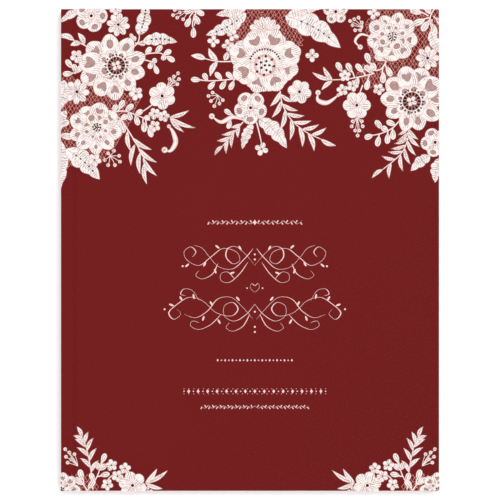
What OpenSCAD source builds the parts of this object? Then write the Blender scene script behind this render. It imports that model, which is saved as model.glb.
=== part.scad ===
// Case-bound wedding guest book, lying closed on its back cover.
// X runs from the spine (-X) to the fore-edge (+X), Y from tail to head, Z from back cover to front cover.

/* [Leaves] */
// Width of a leaf, from its fold to the fore-edge
page_w = 215.9; // [120:0.1:300]
// Height of a leaf
page_h = 279.4; // [150:0.1:400]
// Thickness of one writing leaf
leaf_t = 0.22; // [0.12:0.01:0.4]
// Air between one leaf and the next
leaf_gap = 0.06; // [0.04:0.01:0.1]
// Leaves of the first gathering, each of which turns
turning_leaves = 8; // [2:1:12]
// Gatherings that stay flat under the first one
flat_gatherings = 3; // [1:1:6]
// Thickness of one flat gathering of four folded sheets
gathering_t = 2.1; // [1:0.1:4]

/* [Case] */
// Thickness of the two cover boards
board_t = 2.5; // [1.5:0.1:4]
// Thickness of the spine board
spine_board_t = 2.2; // [1.2:0.1:3]
// Thickness of the printed cover paper with its film
wrap_t = 0.2; // [0.15:0.01:0.4]
// Width of the cover paper that is folded in over the boards
turn_in = 15; // [10:0.5:20]
// Overhang of the boards past the leaves at head and tail
square_head = 3.175; // [2:0.025:6]
// Overhang of the boards past the leaves at the fore-edge
square_fore = 4.4; // [2:0.1:7]
// Gap between the spine board and a cover board, spanned by cover paper alone
joint_gap = 6.5; // [6:0.1:9]
// Width of the groove pressed into each joint beside the cover board
groove_w = 2.6; // [1.5:0.1:4]
// Depth of the groove
groove_depth = 0.4; // [0.2:0.1:1.8]

/* [Binding] */
// Thickness of the endpapers
endpaper_t = 0.25; // [0.15:0.01:0.4]
// Air between the spine board and the lined back of the leaves
hollow = 0.6; // [0.4:0.1:2]
// Thickness of the kraft paper on the back of the gatherings
lining_t = 0.2; // [0.1:0.01:0.4]
// Thickness of the gauze on the back of the gatherings
mull_t = 0.25; // [0.15:0.01:0.4]
// Width of the gauze flaps under the pastedowns
mull_flap = 25; // [15:1:40]
// Bare length at each end of the gauze, next to the headbands
mull_inset = 5; // [3:0.5:20]
// Diameter of the sewing thread
thread_d = 0.5; // [0.3:0.05:0.8]
// Sewing stations along the folds
stations = 6; // [3:1:9]
// Diameter of the bead of each headband
bead_d = 1.4; // [1:0.1:2]
// Length of the cloth tab that holds each headband
headband_tab = 8; // [5:0.5:12]

/* [Motion] */
// Distance from the fold to the bending line of a flyleaf
hinge_start = 2.5; // [2:0.1:3.5]
// Distance between the bending lines of neighbouring leaves
hinge_step = 0.9; // [0.6:0.05:1.2]

/* [Hidden] */
$fn = 48;
eps = 0.01;
lay = 0.05;              // running gap between a part of a cover and its neighbour on the leaves' side
seat = 0.02;             // gap of a round piece that lies on a flat one
stub_clear = 0.4;        // a folded part ends this far before its leaf's bending line

// Thickness stack, from the table up
skin_t = wrap_t + board_t + wrap_t;                 // board with its cover paper
cover_t = skin_t + endpaper_t;                      // with its pastedown
leaf_pitch = leaf_t + leaf_gap;
gathering_pitch = gathering_t + leaf_gap;
back_fly_z = cover_t + lay;
flat_z = back_fly_z + endpaper_t + leaf_gap;
turning_z = flat_z + flat_gatherings * gathering_pitch;
front_fly_z = turning_z + turning_leaves * leaf_pitch;
total_t = front_fly_z + endpaper_t + lay + cover_t;

// Width stack, from the spine's outer face
spine_in = wrap_t + spine_board_t + wrap_t;         // inner face of the covered spine board
lining_x = spine_in + hollow - wrap_t;
mull_x = lining_x + lining_t;
fold_x = mull_x + mull_t + thread_d + 2 * seat;     // backs of the folds
board_x = spine_in + joint_gap;
fore_x = fold_x + page_w;                           // fore-edge of the leaves
cover_w = fore_x + square_fore;
cover_h = page_h + 2 * square_head;
mull_h = cover_h - 2 * turn_in - 2 * mull_inset;

// A cover turns about the spine's outer corner. A leaf turns about the start of its free part.
function leaf_hinge(i) = fold_x + hinge_start + i * hinge_step;             // 0 is the flyleaf
function leaf_z(i) = turning_z + (turning_leaves - i) * leaf_pitch;         // 1 is the top leaf

leaf_names = [for (i = [1:turning_leaves]) str("leaf_", i)];
gathering_names = [for (g = [2:flat_gatherings + 1]) str("gathering_", g)];

paper = "ivory";
board_grey = "darkgray";
print_red = "firebrick";

// A block from x0 to x1 and z0 to z1, measured from the spine's outer face and the table, centred in Y
module slab(x0, x1, h, z0, z1) {
    translate([x0 - cover_w / 2, -h / 2, z0]) cube([x1 - x0, h, z1 - z0]);
}

// A profile drawn in the plane across the spine, run along Y
module along_spine(h) {
    translate([-cover_w / 2, h / 2, 0]) rotate([90, 0, 0]) linear_extrude(h) children();
}

// Turns a piece of the back cover into the front cover's
module as_front() {
    translate([0, 0, total_t]) mirror([0, 0, 1]) children();
}

// ---- Covers, drawn as the back cover, outer face down ----

module cover_board() {
    color(board_grey) slab(board_x, cover_w - wrap_t, cover_h - 2 * wrap_t, wrap_t, wrap_t + board_t);
}

// Cover paper across the joint, from x0 on, with the groove beside the board; t is its thickness
module joint_sheet(x0, h, t) {
    slope = groove_w / 3;
    lip = board_x - groove_w;
    along_spine(h) polygon([
        [x0, 0], [lip, 0], [lip + slope, groove_depth], [board_x - slope, groove_depth], [board_x, 0],
        [board_x, t], [board_x - slope, groove_depth + t], [lip + slope, groove_depth + t], [lip, t], [x0, t],
    ]);
}

// Printed cover paper: round the board and its turn-ins, across the joint, and up to the spine's corner
module cover_wrap() {
    color(print_red) union() {
        difference() {
            slab(board_x, cover_w, cover_h, 0, skin_t);
            slab(board_x - eps, cover_w - wrap_t, cover_h - 2 * wrap_t, wrap_t, wrap_t + board_t);
            slab(board_x - eps, cover_w - turn_in, cover_h - 2 * turn_in, wrap_t + board_t - eps, skin_t + eps);
        }
        joint_sheet(0, cover_h, wrap_t);
        for (side = [-1, 1])
            translate([0, side * (cover_h - turn_in) / 2, 0]) joint_sheet(spine_in, turn_in, 2 * wrap_t);
    }
}

module mull_flap_sheet() {
    color("wheat") slab(board_x, board_x + mull_flap, mull_h, skin_t - wrap_t, skin_t);
}

// The pastedown lies on the turn-ins and on the gauze, and dips onto the board between them
module pastedown() {
    window = [board_x + mull_flap, cover_w - turn_in, cover_h - 2 * turn_in];
    color(paper) difference() {
        union() {
            slab(board_x, fore_x, page_h, skin_t, cover_t);
            slab(window[0], window[1], window[2], skin_t - wrap_t, cover_t);
        }
        slab(window[0] + endpaper_t, window[1] - endpaper_t, window[2] - 2 * endpaper_t,
             cover_t - wrap_t, cover_t + eps);
    }
}

// Folded endpaper at the joint: from the board to the fold, and back as the strip tipped onto the leaves
module endpaper_fold() {
    color(paper) union() {
        slab(fold_x, board_x, page_h, skin_t, cover_t);
        slab(fold_x, fold_x + endpaper_t, page_h, skin_t, back_fly_z + endpaper_t);
        slab(fold_x, leaf_hinge(0) - stub_clear, page_h, back_fly_z, back_fly_z + endpaper_t);
    }
}

module flyleaf() {
    color(paper) slab(leaf_hinge(0), fore_x, page_h, back_fly_z, back_fly_z + endpaper_t);
}

// ---- Spine ----

module spine_board() {
    color(board_grey) slab(wrap_t, wrap_t + spine_board_t, cover_h - 2 * wrap_t, wrap_t + lay, total_t - wrap_t - lay);
}

module spine_wrap() {
    z0 = wrap_t + lay;
    z1 = total_t - z0;
    color(print_red) difference() {
        slab(0, spine_in, cover_h, z0, z1);
        slab(wrap_t, wrap_t + spine_board_t, cover_h - 2 * wrap_t, z0 - eps, z1 + eps);
        slab(wrap_t + spine_board_t - eps, spine_in + eps, cover_h - 2 * turn_in, z0 - eps, z1 + eps);
    }
}

module spine_lining() {
    color("tan") slab(lining_x, lining_x + lining_t, mull_h, back_fly_z, front_fly_z + endpaper_t);
}

module mull() {
    color("wheat") slab(mull_x, mull_x + mull_t, mull_h, back_fly_z, front_fly_z + endpaper_t);
}

// Kettle stitches that link the gatherings, one column at each station
module sewing_thread() {
    first = -mull_h / 2 + thread_d;
    pitch = (mull_h - 2 * thread_d) / (stations - 1);
    color("white") for (s = [0:stations - 1])
        translate([fold_x - seat - thread_d / 2 - cover_w / 2, first + s * pitch, flat_z])
            cylinder(d = thread_d, h = front_fly_z - flat_z);
}

// Headband at the head of the spine: a bead over the ends of the folds, on a tab glued to their backs
module head_bead() {
    bead_x = mull_x + bead_d / 2 + seat - cover_w / 2;
    bead_y = page_h / 2 + bead_d / 2 + seat;
    color("firebrick") union() {
        translate([bead_x, bead_y, back_fly_z]) cylinder(d = bead_d, h = front_fly_z + endpaper_t - back_fly_z);
        translate([mull_x - cover_w / 2, page_h / 2 - headband_tab, back_fly_z])
            cube([mull_t, bead_y - page_h / 2 + headband_tab, front_fly_z + endpaper_t - back_fly_z]);
    }
}

module headband() head_bead();
module tailband() mirror([0, 1, 0]) head_bead();

// ---- Leaves ----

// Sewn part of the first gathering, stepped so that each leaf above it is free to bend
module gathering_stubs() {
    color(paper) union() for (i = [1:turning_leaves])
        slab(fold_x, leaf_hinge(i) - stub_clear, page_h, turning_z, leaf_z(i) + leaf_t);
}

module turning_leaf(i) {
    color(paper) slab(leaf_hinge(i), fore_x, page_h, leaf_z(i), leaf_z(i) + leaf_t);
}

// A flat gathering, with the round back of its folded sheets
module gathering(g) {
    z = flat_z + (flat_gatherings + 1 - g) * gathering_pitch;
    r = gathering_t / 2;
    color(paper) along_spine(page_h) union() {
        translate([fold_x + r, z + r]) circle(r);
        translate([fold_x + r, z]) square([page_w - r, gathering_t]);
    }
}

as_front() cover_board();  // front_board
as_front() cover_wrap();  // front_wrap
as_front() mull_flap_sheet();  // front_mull_flap
as_front() pastedown();  // front_pastedown
as_front() endpaper_fold();  // front_endpaper_joint
spine_board();
spine_wrap();
spine_lining();
mull();
sewing_thread();
headband();
tailband();
cover_board();  // back_board
cover_wrap();  // back_wrap
mull_flap_sheet();  // back_mull_flap
pastedown();  // back_pastedown
endpaper_fold();  // back_endpaper_joint
as_front() flyleaf();  // front_flyleaf
flyleaf();  // back_flyleaf
gathering_stubs();  // gathering_1
for (i = [1:turning_leaves])
    turning_leaf(i);
for (g = [2:flat_gatherings + 1])
    gathering(g);
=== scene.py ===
import math
import random

import bmesh
import bpy
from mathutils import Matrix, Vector


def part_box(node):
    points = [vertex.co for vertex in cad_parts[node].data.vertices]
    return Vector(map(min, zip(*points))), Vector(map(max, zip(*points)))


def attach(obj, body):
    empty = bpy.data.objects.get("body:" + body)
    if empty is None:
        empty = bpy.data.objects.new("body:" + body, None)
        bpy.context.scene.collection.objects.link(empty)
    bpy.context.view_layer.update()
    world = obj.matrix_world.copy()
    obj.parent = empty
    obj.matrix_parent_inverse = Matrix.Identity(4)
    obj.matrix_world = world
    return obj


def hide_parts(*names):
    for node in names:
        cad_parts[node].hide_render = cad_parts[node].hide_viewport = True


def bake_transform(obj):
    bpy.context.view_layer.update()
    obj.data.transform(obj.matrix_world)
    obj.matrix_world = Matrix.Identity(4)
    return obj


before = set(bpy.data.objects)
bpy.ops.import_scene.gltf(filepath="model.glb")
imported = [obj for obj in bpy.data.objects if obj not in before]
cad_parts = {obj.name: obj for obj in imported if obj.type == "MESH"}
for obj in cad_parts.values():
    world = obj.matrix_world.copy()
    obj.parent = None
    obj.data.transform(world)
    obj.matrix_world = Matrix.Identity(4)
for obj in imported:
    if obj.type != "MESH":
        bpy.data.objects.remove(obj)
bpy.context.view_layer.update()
print("stage: frame loaded")

# Everything below is worked out in millimetres, in the book's own frame, and turned to metres
# when a mesh is made
toMetres = 0.001
mapScale = 100.0                     # millimetres of paper to one unit of a sheet's flat map


def boxMm(node):
    lo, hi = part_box(node)
    return lo / toMetres, hi / toMetres


caseLo, caseHi = boxMm("front_wrap")
boardLo = boxMm("front_board")[0]
leafLo, leafHi = boxMm("front_flyleaf")
stubLo = boxMm("gathering_1")[0]
spineHi = boxMm("spine_board")[1]
pasteLo, pasteHi = boxMm("front_pastedown")

left = caseLo.x                      # the spine's outer face
coverWide = caseHi.x - left
coverHigh = caseHi.y - caseLo.y
headEdge = caseHi.y
bookTop = caseHi.z
foldX = stubLo.x                     # backs of the folds
foreEdge = leafHi.x
leafHigh = leafHi.y - leafLo.y

caseWork = {
    "paper": 0.2,                    # thickness of the cover paper
    "edgeRound": 0.6,                # rounding over a board's edges
    "jointRound": 0.2,               # the same where the paper is folded with no board in it
    "cornerRound": 0.75,             # rounding of a board's corners, seen from above
    "turnIn": 15.0,
    "jointStep": 2.4,                # between the first lines beside the spine
    "grooveWide": 2.6,
    "grooveDeep": 0.4,
    "arcSteps": 4,
    "paperShare": 0.98,              # paper in the model, a little thinner than its space
    "shadeAndWearFrom": 0.2,                 # band of painted shade and rubbing along the edges, from the last flat line
    "shadeAndWearTo": 1.6,
    "shadeAndWearFade": 3.0,
}
jointEnd = boardLo.x - left          # where the board starts, measured from the spine
boardThick = caseHi.z - caseLo.z     # covered board
jointThick = 2 * caseWork["paper"]


# ---- Mesh helpers ----

def newObject(name, verts, faces, uvs=None):
    mesh = bpy.data.meshes.new(name)
    mesh.from_pydata([Vector(v) * toMetres for v in verts], [], faces)
    if uvs:
        layer = mesh.uv_layers.new(name="flat")
        for loop in mesh.loops:
            layer.data[loop.index].uv = uvs[loop.vertex_index]
    bm = bmesh.new()
    bm.from_mesh(mesh)
    bmesh.ops.recalc_face_normals(bm, faces=bm.faces)
    bm.to_mesh(mesh)
    bm.free()
    mesh.shade_smooth()
    obj = bpy.data.objects.new(name, mesh)
    bpy.context.scene.collection.objects.link(obj)
    return obj


def creaseByAngle(obj, degrees):
    obj.data.set_sharp_from_angle(angle=math.radians(degrees))


def finishPiece(obj, material, nodes=()):
    obj.data.materials.clear()
    obj.data.materials.append(material)
    if nodes:
        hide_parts(*nodes)


def smoothStep(t):
    t = min(max(t, 0.0), 1.0)
    return t * t * (3 - 2 * t)


# Faces of a closed sheet: a front and a back grid of nc columns by nr rows, joined round the edge
def sheetFaces(nc, nr, base=0):
    faces = []
    back = nc * nr
    for ci in range(nc - 1):
        for ri in range(nr - 1):
            a = base + ci * nr + ri
            b = a + nr
            faces.append((a, b, b + 1, a + 1))
            faces.append((back + a, back + a + 1, back + b + 1, back + b))
    for ci in range(nc - 1):
        for ri in (0, nr - 1):
            a = base + ci * nr + ri
            b = a + nr
            faces.append((a, b, back + b, back + a))
    for ri in range(nr - 1):
        for ci in (0, nc - 1):
            a = base + ci * nr + ri
            faces.append((a, a + 1, back + a + 1, back + a))
    return faces


# A thin sheet from a list of columns. Each column is (x, z, nx, nz): a point in the plane across the
# spine and its outward side. rows are y values. The sheet is closed, with the given thickness.
def sheetAcross(name, columns, rows, thick, uvOf, edgeWobble=None):
    verts, uvs = [], []
    nc, nr = len(columns), len(rows)
    for layer in (0, 1):
        off = thick * (0.5 - layer)
        for ci, (x, z, nx, nz) in enumerate(columns):
            for ri, y in enumerate(rows):
                dx, dy = edgeWobble(ci, ri, nc, nr) if edgeWobble else (0, 0)
                verts.append((x + nx * off + dx, y + dy, z + nz * off))
                uvs.append(uvOf(x, y))
    return newObject(name, verts, sheetFaces(nc, nr), uvs)


# ---- Materials ----

def startMaterial(name):
    mat = bpy.data.materials.new(name)
    mat.use_nodes = True
    tree = mat.node_tree
    return mat, tree, tree.nodes["Principled BSDF"]


# Links a socket to another node's output, or gives it a fixed value
def feed(tree, socket, value):
    if isinstance(value, bpy.types.NodeSocket):
        tree.links.new(value, socket)
    else:
        socket.default_value = value


def addNode(tree, kind, settings=None, **values):
    node = tree.nodes.new(kind)
    for key, value in (settings or {}).items():
        setattr(node, key, value)
    for key, value in values.items():
        feed(tree, node.inputs[key], value)
    return node


def flatCoord(tree, layer="flat"):
    return addNode(tree, "ShaderNodeUVMap", {"uv_map": layer}).outputs["UV"]


def objectCoord(tree):
    return addNode(tree, "ShaderNodeTexCoord").outputs["Object"]


def noiseTex(tree, coord, scale, detail=3.0, rough=0.5):
    node = addNode(tree, "ShaderNodeTexNoise", Vector=coord, Scale=scale, Detail=detail, Roughness=rough)
    return node.outputs["Fac"]


def ramp(tree, fac, stops):
    node = addNode(tree, "ShaderNodeValToRGB", Fac=fac)
    while len(node.color_ramp.elements) < len(stops):
        node.color_ramp.elements.new(0.5)
    for element, (place, colour) in zip(node.color_ramp.elements, stops):
        element.position = place
        element.color = (*colour, 1) if len(colour) == 3 else colour
    return node.outputs["Color"]


def grey(level):
    return (level, level, level)


def mixColour(tree, fac, a, b):
    node = addNode(tree, "ShaderNodeMix", {"data_type": "RGBA"})
    feed(tree, node.inputs[0], fac)
    for index, colour in ((6, a), (7, b)):
        feed(tree, node.inputs[index], (*colour, 1) if isinstance(colour, tuple) else colour)
    return node.outputs[2]


def maths(tree, operation, a, b=0.0, c=0.0):
    node = addNode(tree, "ShaderNodeMath", {"operation": operation})
    for index, value in enumerate((a, b, c)):
        feed(tree, node.inputs[index], value)
    return node.outputs[0]


# Colour, roughness and a fine relief taken from one of the material's own patterns
def setSurface(tree, bsdf, colour, roughness, height, strength, distance):
    feed(tree, bsdf.inputs["Base Color"], colour)
    feed(tree, bsdf.inputs["Roughness"], roughness)
    relief = addNode(tree, "ShaderNodeBump", Height=height, Strength=strength, Distance=distance)
    feed(tree, bsdf.inputs["Normal"], relief.outputs["Normal"])


coverPaper = {
    "red": (0.186, 0.0097, 0.0103),
    "redDeep": (0.178, 0.0089, 0.0095),
    # painted shade: darker red mixed in along the rounded edges, where less light falls
    "edge": (0.120, 0.0070, 0.0075),
    "worn": (0.24, 0.05, 0.045),
    "roughness": 0.55,
    "shine": 0.06,
}


# Printed paper under a matt film: an even deep red, faint fibre, painted shade that darkens the rounded
# edges, and paler rubbed patches on them
def makeCoverPaper():
    mat, tree, bsdf = startMaterial("redCoverPaper")
    uv = flatCoord(tree)
    cloud = noiseTex(tree, uv, 3.0, 3.0)
    fibre = noiseTex(tree, uv, 160.0, 4.0, 0.6)
    colour = mixColour(tree, cloud, coverPaper["red"], coverPaper["redDeep"])
    edgeShadeAndWear = addNode(tree, "ShaderNodeAttribute", {"attribute_name": "edgeShadeAndWear"}).outputs["Fac"]
    # painted shade darkens the edges first, then real rubbing lightens them in patches; one edge amount
    # leads both
    colour = mixColour(tree, maths(tree, "MULTIPLY", edgeShadeAndWear, 0.8), colour, coverPaper["edge"])
    patchy = ramp(tree, noiseTex(tree, uv, 90.0, 4.0, 0.65), [(0.48, grey(0)), (0.68, grey(1))])
    rubbed = maths(tree, "MULTIPLY", edgeShadeAndWear, patchy)
    colour = mixColour(tree, maths(tree, "MULTIPLY", rubbed, 0.4), colour, coverPaper["worn"])
    rough = maths(tree, "MULTIPLY_ADD", fibre, 0.10, coverPaper["roughness"])
    bsdf.inputs["Specular IOR Level"].default_value = coverPaper["shine"]
    setSurface(tree, bsdf, colour, rough, fibre, 0.12, 0.00003)
    return mat


lacePrint = {
    "white": (1.0, 0.91, 0.88),
    "thread": (0.46, 0.355, 0.34),   # the greyed hatch between the white threads
    "outline": (0.74, 0.37, 0.335),
    "hatchPerMm": 0.85,
    "hatchDepth": 1.0,
    "wander": 1.6,                   # how far a thread strays from straight, in millimetres
    "rimDepth": 0.8,
    "roughness": 0.52,
    "shine": 0.06,
}


# White ink: uv.x is millimetres across the threads, uv.y runs from 0 inside a shape's outline
# to 1 at its edge
def makeLaceWhite():
    mat, tree, bsdf = startMaterial("whiteLaceInk")
    split = addNode(tree, "ShaderNodeSeparateXYZ", Vector=flatCoord(tree))
    across, edge = split.outputs["X"], split.outputs["Y"]
    coord = flatCoord(tree, "place")
    speck = noiseTex(tree, coord, 90.0, 2.0)
    wander = maths(tree, "MULTIPLY_ADD", noiseTex(tree, coord, 30.0, 1.0), lacePrint["wander"], across)
    lines = maths(tree, "SINE", maths(tree, "MULTIPLY", wander, lacePrint["hatchPerMm"] * 2 * math.pi))
    lines = maths(tree, "MULTIPLY_ADD", lines, 0.4, maths(tree, "MULTIPLY", speck, 0.8))
    hatch = ramp(tree, lines, [(0.38, grey(0)), (0.72, grey(1))])
    patches = ramp(tree, noiseTex(tree, coord, 24.0, 2.0), [(0.40, grey(0.08)), (0.60, grey(1))])
    amount = maths(tree, "MULTIPLY", maths(tree, "MULTIPLY", hatch, patches), lacePrint["hatchDepth"])
    colour = mixColour(tree, amount, lacePrint["white"], lacePrint["thread"])
    rim = ramp(tree, edge, [(0.10, grey(0)), (0.60, grey(1))])
    rim = maths(tree, "MULTIPLY", rim, lacePrint["rimDepth"])
    colour = mixColour(tree, rim, colour, lacePrint["outline"])
    bsdf.inputs["Specular IOR Level"].default_value = lacePrint["shine"]
    setSurface(tree, bsdf, colour, lacePrint["roughness"], speck, 0.10, 0.00002)
    return mat


# One flat ink with a fine speckle, for tulle, net and pen lines
def makeInk(name, colour, darker, rimColour=None):
    mat, tree, bsdf = startMaterial(name)
    speck = noiseTex(tree, flatCoord(tree, "place"), 70.0, 3.0, 0.6)
    speck = ramp(tree, speck, [(0.35, grey(0)), (0.65, grey(1))])
    tone = mixColour(tree, speck, darker, colour)
    if rimColour:
        edge = addNode(tree, "ShaderNodeSeparateXYZ", Vector=flatCoord(tree)).outputs["Y"]
        rim = ramp(tree, edge, [(0.2, grey(0)), (0.8, grey(1))])
        tone = mixColour(tree, maths(tree, "MULTIPLY", rim, 0.7), tone, rimColour)
    bsdf.inputs["Specular IOR Level"].default_value = lacePrint["shine"]
    setSurface(tree, bsdf, tone, lacePrint["roughness"], speck, 0.08, 0.00002)
    return mat


writingPaper = {
    "sheet": (0.80, 0.775, 0.72),
    "shade": (0.74, 0.71, 0.65),
    "rule": (0.46, 0.36, 0.34),
    "ruleGap": 9.0,                  # millimetres between the writing lines
    "ruleWide": 0.28,
    "headMargin": 34.0,
    "tailMargin": 22.0,
    "sideMargin": 16.0,
    "roughness": 0.85,
    "shine": 0.2,
}


# The flat map gives the distance from the fold and from the head
def makePaper(name, sheet, shade, ruled):
    mat, tree, bsdf = startMaterial(name)
    uv = flatCoord(tree)
    fibre = noiseTex(tree, uv, 120.0, 5.0, 0.65)
    cloud = noiseTex(tree, uv, 4.0, 3.0)
    tone = maths(tree, "MULTIPLY_ADD", fibre, 0.5, maths(tree, "MULTIPLY", cloud, 0.5))
    colour = mixColour(tree, ramp(tree, tone, [(0.35, grey(0)), (0.65, grey(1))]), shade, sheet)
    if ruled:
        split = addNode(tree, "ShaderNodeSeparateXYZ", Vector=uv)
        along = maths(tree, "MULTIPLY", split.outputs["X"], mapScale)
        down = maths(tree, "MULTIPLY", split.outputs["Y"], mapScale)
        gap = writingPaper["ruleGap"]
        step = maths(tree, "MODULO", down, gap)
        line = maths(tree, "COMPARE", step, gap / 2, writingPaper["ruleWide"] / 2)
        for value, low, high in (
            (down, writingPaper["headMargin"], leafHigh - writingPaper["tailMargin"]),
            (along, writingPaper["sideMargin"], foreEdge - foldX - writingPaper["sideMargin"]),
        ):
            line = maths(tree, "MULTIPLY", line, maths(tree, "GREATER_THAN", value, low))
            line = maths(tree, "MULTIPLY", line, maths(tree, "LESS_THAN", value, high))
        colour = mixColour(tree, maths(tree, "MULTIPLY", line, 0.75), colour, writingPaper["rule"])
    bsdf.inputs["Specular IOR Level"].default_value = writingPaper["shine"]
    setSurface(tree, bsdf, colour, writingPaper["roughness"], fibre, 0.25, 0.00006)
    return mat


# Grey binder's board: pressed pulp with flecks
def makeBoard():
    mat, tree, bsdf = startMaterial("greyBoard")
    coord = objectCoord(tree)
    pulp = noiseTex(tree, coord, 700.0, 5.0, 0.7)
    fleck = ramp(tree, noiseTex(tree, coord, 2600.0, 2.0), [(0.60, grey(0)), (0.70, grey(1))])
    colour = mixColour(tree, pulp, (0.20, 0.19, 0.17), (0.36, 0.34, 0.31))
    colour = mixColour(tree, maths(tree, "MULTIPLY", fleck, 0.5), colour, (0.62, 0.58, 0.50))
    setSurface(tree, bsdf, colour, 0.95, pulp, 0.5, 0.0001)
    return mat


# Woven cloth from two crossed waves: open gauze, or the close band under the headbands
def makeWoven(name, light, dark, threadsPerMetre, openness):
    mat, tree, bsdf = startMaterial(name)
    split = addNode(tree, "ShaderNodeSeparateXYZ", Vector=objectCoord(tree))
    turn = threadsPerMetre * 2 * math.pi
    across = maths(tree, "SINE", maths(tree, "MULTIPLY", split.outputs["Y"], turn))
    along = maths(tree, "ADD", split.outputs["X"], split.outputs["Z"])
    along = maths(tree, "SINE", maths(tree, "MULTIPLY", along, turn))
    weave = maths(tree, "MAXIMUM", across, along)
    tone = ramp(tree, weave, [(openness, grey(0)), (min(openness + 0.3, 1), grey(1))])
    setSurface(tree, bsdf, mixColour(tree, tone, dark, light), 0.9, weave, 0.6, 0.0002)
    return mat


# Kraft paper: brown, with long fibres
def makeKraft():
    mat, tree, bsdf = startMaterial("kraftPaper")
    drawnOut = addNode(tree, "ShaderNodeMapping", Vector=objectCoord(tree), Scale=(1.0, 0.15, 1.0))
    fibre = noiseTex(tree, drawnOut.outputs[0], 1500.0, 4.0, 0.7)
    colour = mixColour(tree, fibre, (0.30, 0.18, 0.09), (0.50, 0.34, 0.19))
    setSurface(tree, bsdf, colour, 0.9, fibre, 0.3, 0.0001)
    return mat


# Silk wound over a core: stripes of red and white, uv.x counts the turns
def makeHeadbandSilk():
    mat, tree, bsdf = startMaterial("headbandSilk")
    uv = flatCoord(tree)
    split = addNode(tree, "ShaderNodeSeparateXYZ", Vector=uv)
    turns = maths(tree, "MODULO", split.outputs["X"], 4.0)
    stripe = maths(tree, "GREATER_THAN", turns, 2.0)
    thread = noiseTex(tree, uv, 14.0, 3.0)
    red = mixColour(tree, thread, (0.20, 0.010, 0.014), (0.34, 0.03, 0.035))
    white = mixColour(tree, thread, (0.62, 0.58, 0.52), (0.84, 0.80, 0.74))
    bsdf.inputs["Sheen Weight"].default_value = 0.3
    setSurface(tree, bsdf, mixColour(tree, stripe, red, white), 0.45, thread, 0.3, 0.0001)
    return mat


redPaper = makeCoverPaper()
laceWhite = makeLaceWhite()
laceTulle = makeInk("tulleInk", (0.56, 0.36, 0.335), (0.40, 0.235, 0.215), (0.25, 0.11, 0.10))
hatchInk = makeInk("threadShadeInk", (0.42, 0.28, 0.26), (0.34, 0.20, 0.19))
laceNet = makeInk("netInk", (0.86, 0.42, 0.37), (0.68, 0.27, 0.23))
eyeletInk = makeInk("eyeletInk", (0.055, 0.006, 0.008), (0.035, 0.004, 0.006))
penInk = makeInk("blushPenInk", (1.0, 0.68, 0.64), (0.95, 0.60, 0.56))
leafPaper = makePaper("ruledLeafPaper", writingPaper["sheet"], writingPaper["shade"], True)
endPaper = makePaper("ivoryEndpaper", (0.79, 0.745, 0.665), (0.725, 0.675, 0.59), False)
greyBoard = makeBoard()
gauze = makeWoven("cottonGauze", (0.74, 0.70, 0.60), (0.30, 0.27, 0.22), 900.0, 0.2)
bandCloth = makeWoven("headbandCloth", (0.42, 0.05, 0.055), (0.20, 0.015, 0.02), 2200.0, 0.0)
kraft = makeKraft()
silk = makeHeadbandSilk()
threadCloth = makeWoven("waxedThread", (0.80, 0.77, 0.70), (0.55, 0.51, 0.44), 3500.0, 0.1)
print("stage: materials made")


# ---- Cover paper: how the flat printed sheet lies over board, groove and edges ----

def grooveDrop(u):
    wide = caseWork["grooveWide"]
    slope = wide / 3
    start = jointEnd - wide
    if u <= start or u >= jointEnd:
        return 0.0
    if u < start + slope:
        return caseWork["grooveDeep"] * smoothStep((u - start) / slope)
    if u > jointEnd - slope:
        return caseWork["grooveDeep"] * smoothStep((jointEnd - u) / slope)
    return caseWork["grooveDeep"]


# Lines across the sheet at which the surface bends, measured from the spine
def bendLines():
    r = caseWork["edgeRound"]
    slope = caseWork["grooveWide"] / 3
    start = jointEnd - caseWork["grooveWide"]
    lines = [r + k * caseWork["jointStep"] for k in range(3)]
    lines += [start + slope * k / 4 for k in range(5)]
    lines += [jointEnd - slope * k / 4 for k in range(4, -1, -1)]
    return lines


# Down and in over an edge: past is the paper's length beyond the last flat line
def overEdge(past, thick, r, flat):
    if past <= flat:
        return past, 0.0, 0.0
    past -= flat
    quarter = r * math.pi / 2
    if past < quarter:
        a = past / r
        return flat + r * math.sin(a), r - r * math.cos(a), a
    past -= quarter
    side = thick - 2 * r
    if past < side:
        return flat + r, r + past, math.pi / 2
    past -= side
    if past < quarter:
        a = past / r + math.pi / 2
        return flat + r * math.sin(a), thick - r - r * math.cos(a), a
    past -= quarter
    return flat - past, thick, math.pi


# Where a point of the flat print lies: u from the spine, v from the head, raised by lift
def onFrontCover(u, v, lift):
    r = caseWork["edgeRound"]
    if u < r:                                         # round the spine's corner
        a = (r - u) / r
        x = r - r * math.sin(a)
        z = r * math.cos(a) - r
        nx, nz = -math.sin(a), math.cos(a)
    elif u > coverWide - r:                           # over the fore-edge
        out, down, a = overEdge(u - (coverWide - r), boardThick, r, 0.0)
        x = coverWide - r + out
        z = -down
        nx, nz = math.sin(a), math.cos(a)
    else:
        x, z, nx, nz = u, -grooveDrop(u), 0.0, 1.0
    over = max(r - v, v - (coverHigh - r))
    y = headEdge - v
    ny = 0.0
    if over > 0:
        sign = 1 if v < r else -1
        if u < jointEnd:
            jr = caseWork["jointRound"]
            out, down, a = overEdge(over, jointThick, jr, r - jr)
        else:
            out, down, a = overEdge(over, boardThick, r, 0.0)
        y = sign * (headEdge - r + out)
        x -= nx * down
        z -= nz * down
        ny = sign * math.sin(a)
        nx, nz = nx * math.cos(a), nz * math.cos(a)
    return Vector((left + x, y, bookTop + z)) + Vector((nx, ny, nz)) * lift
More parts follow.
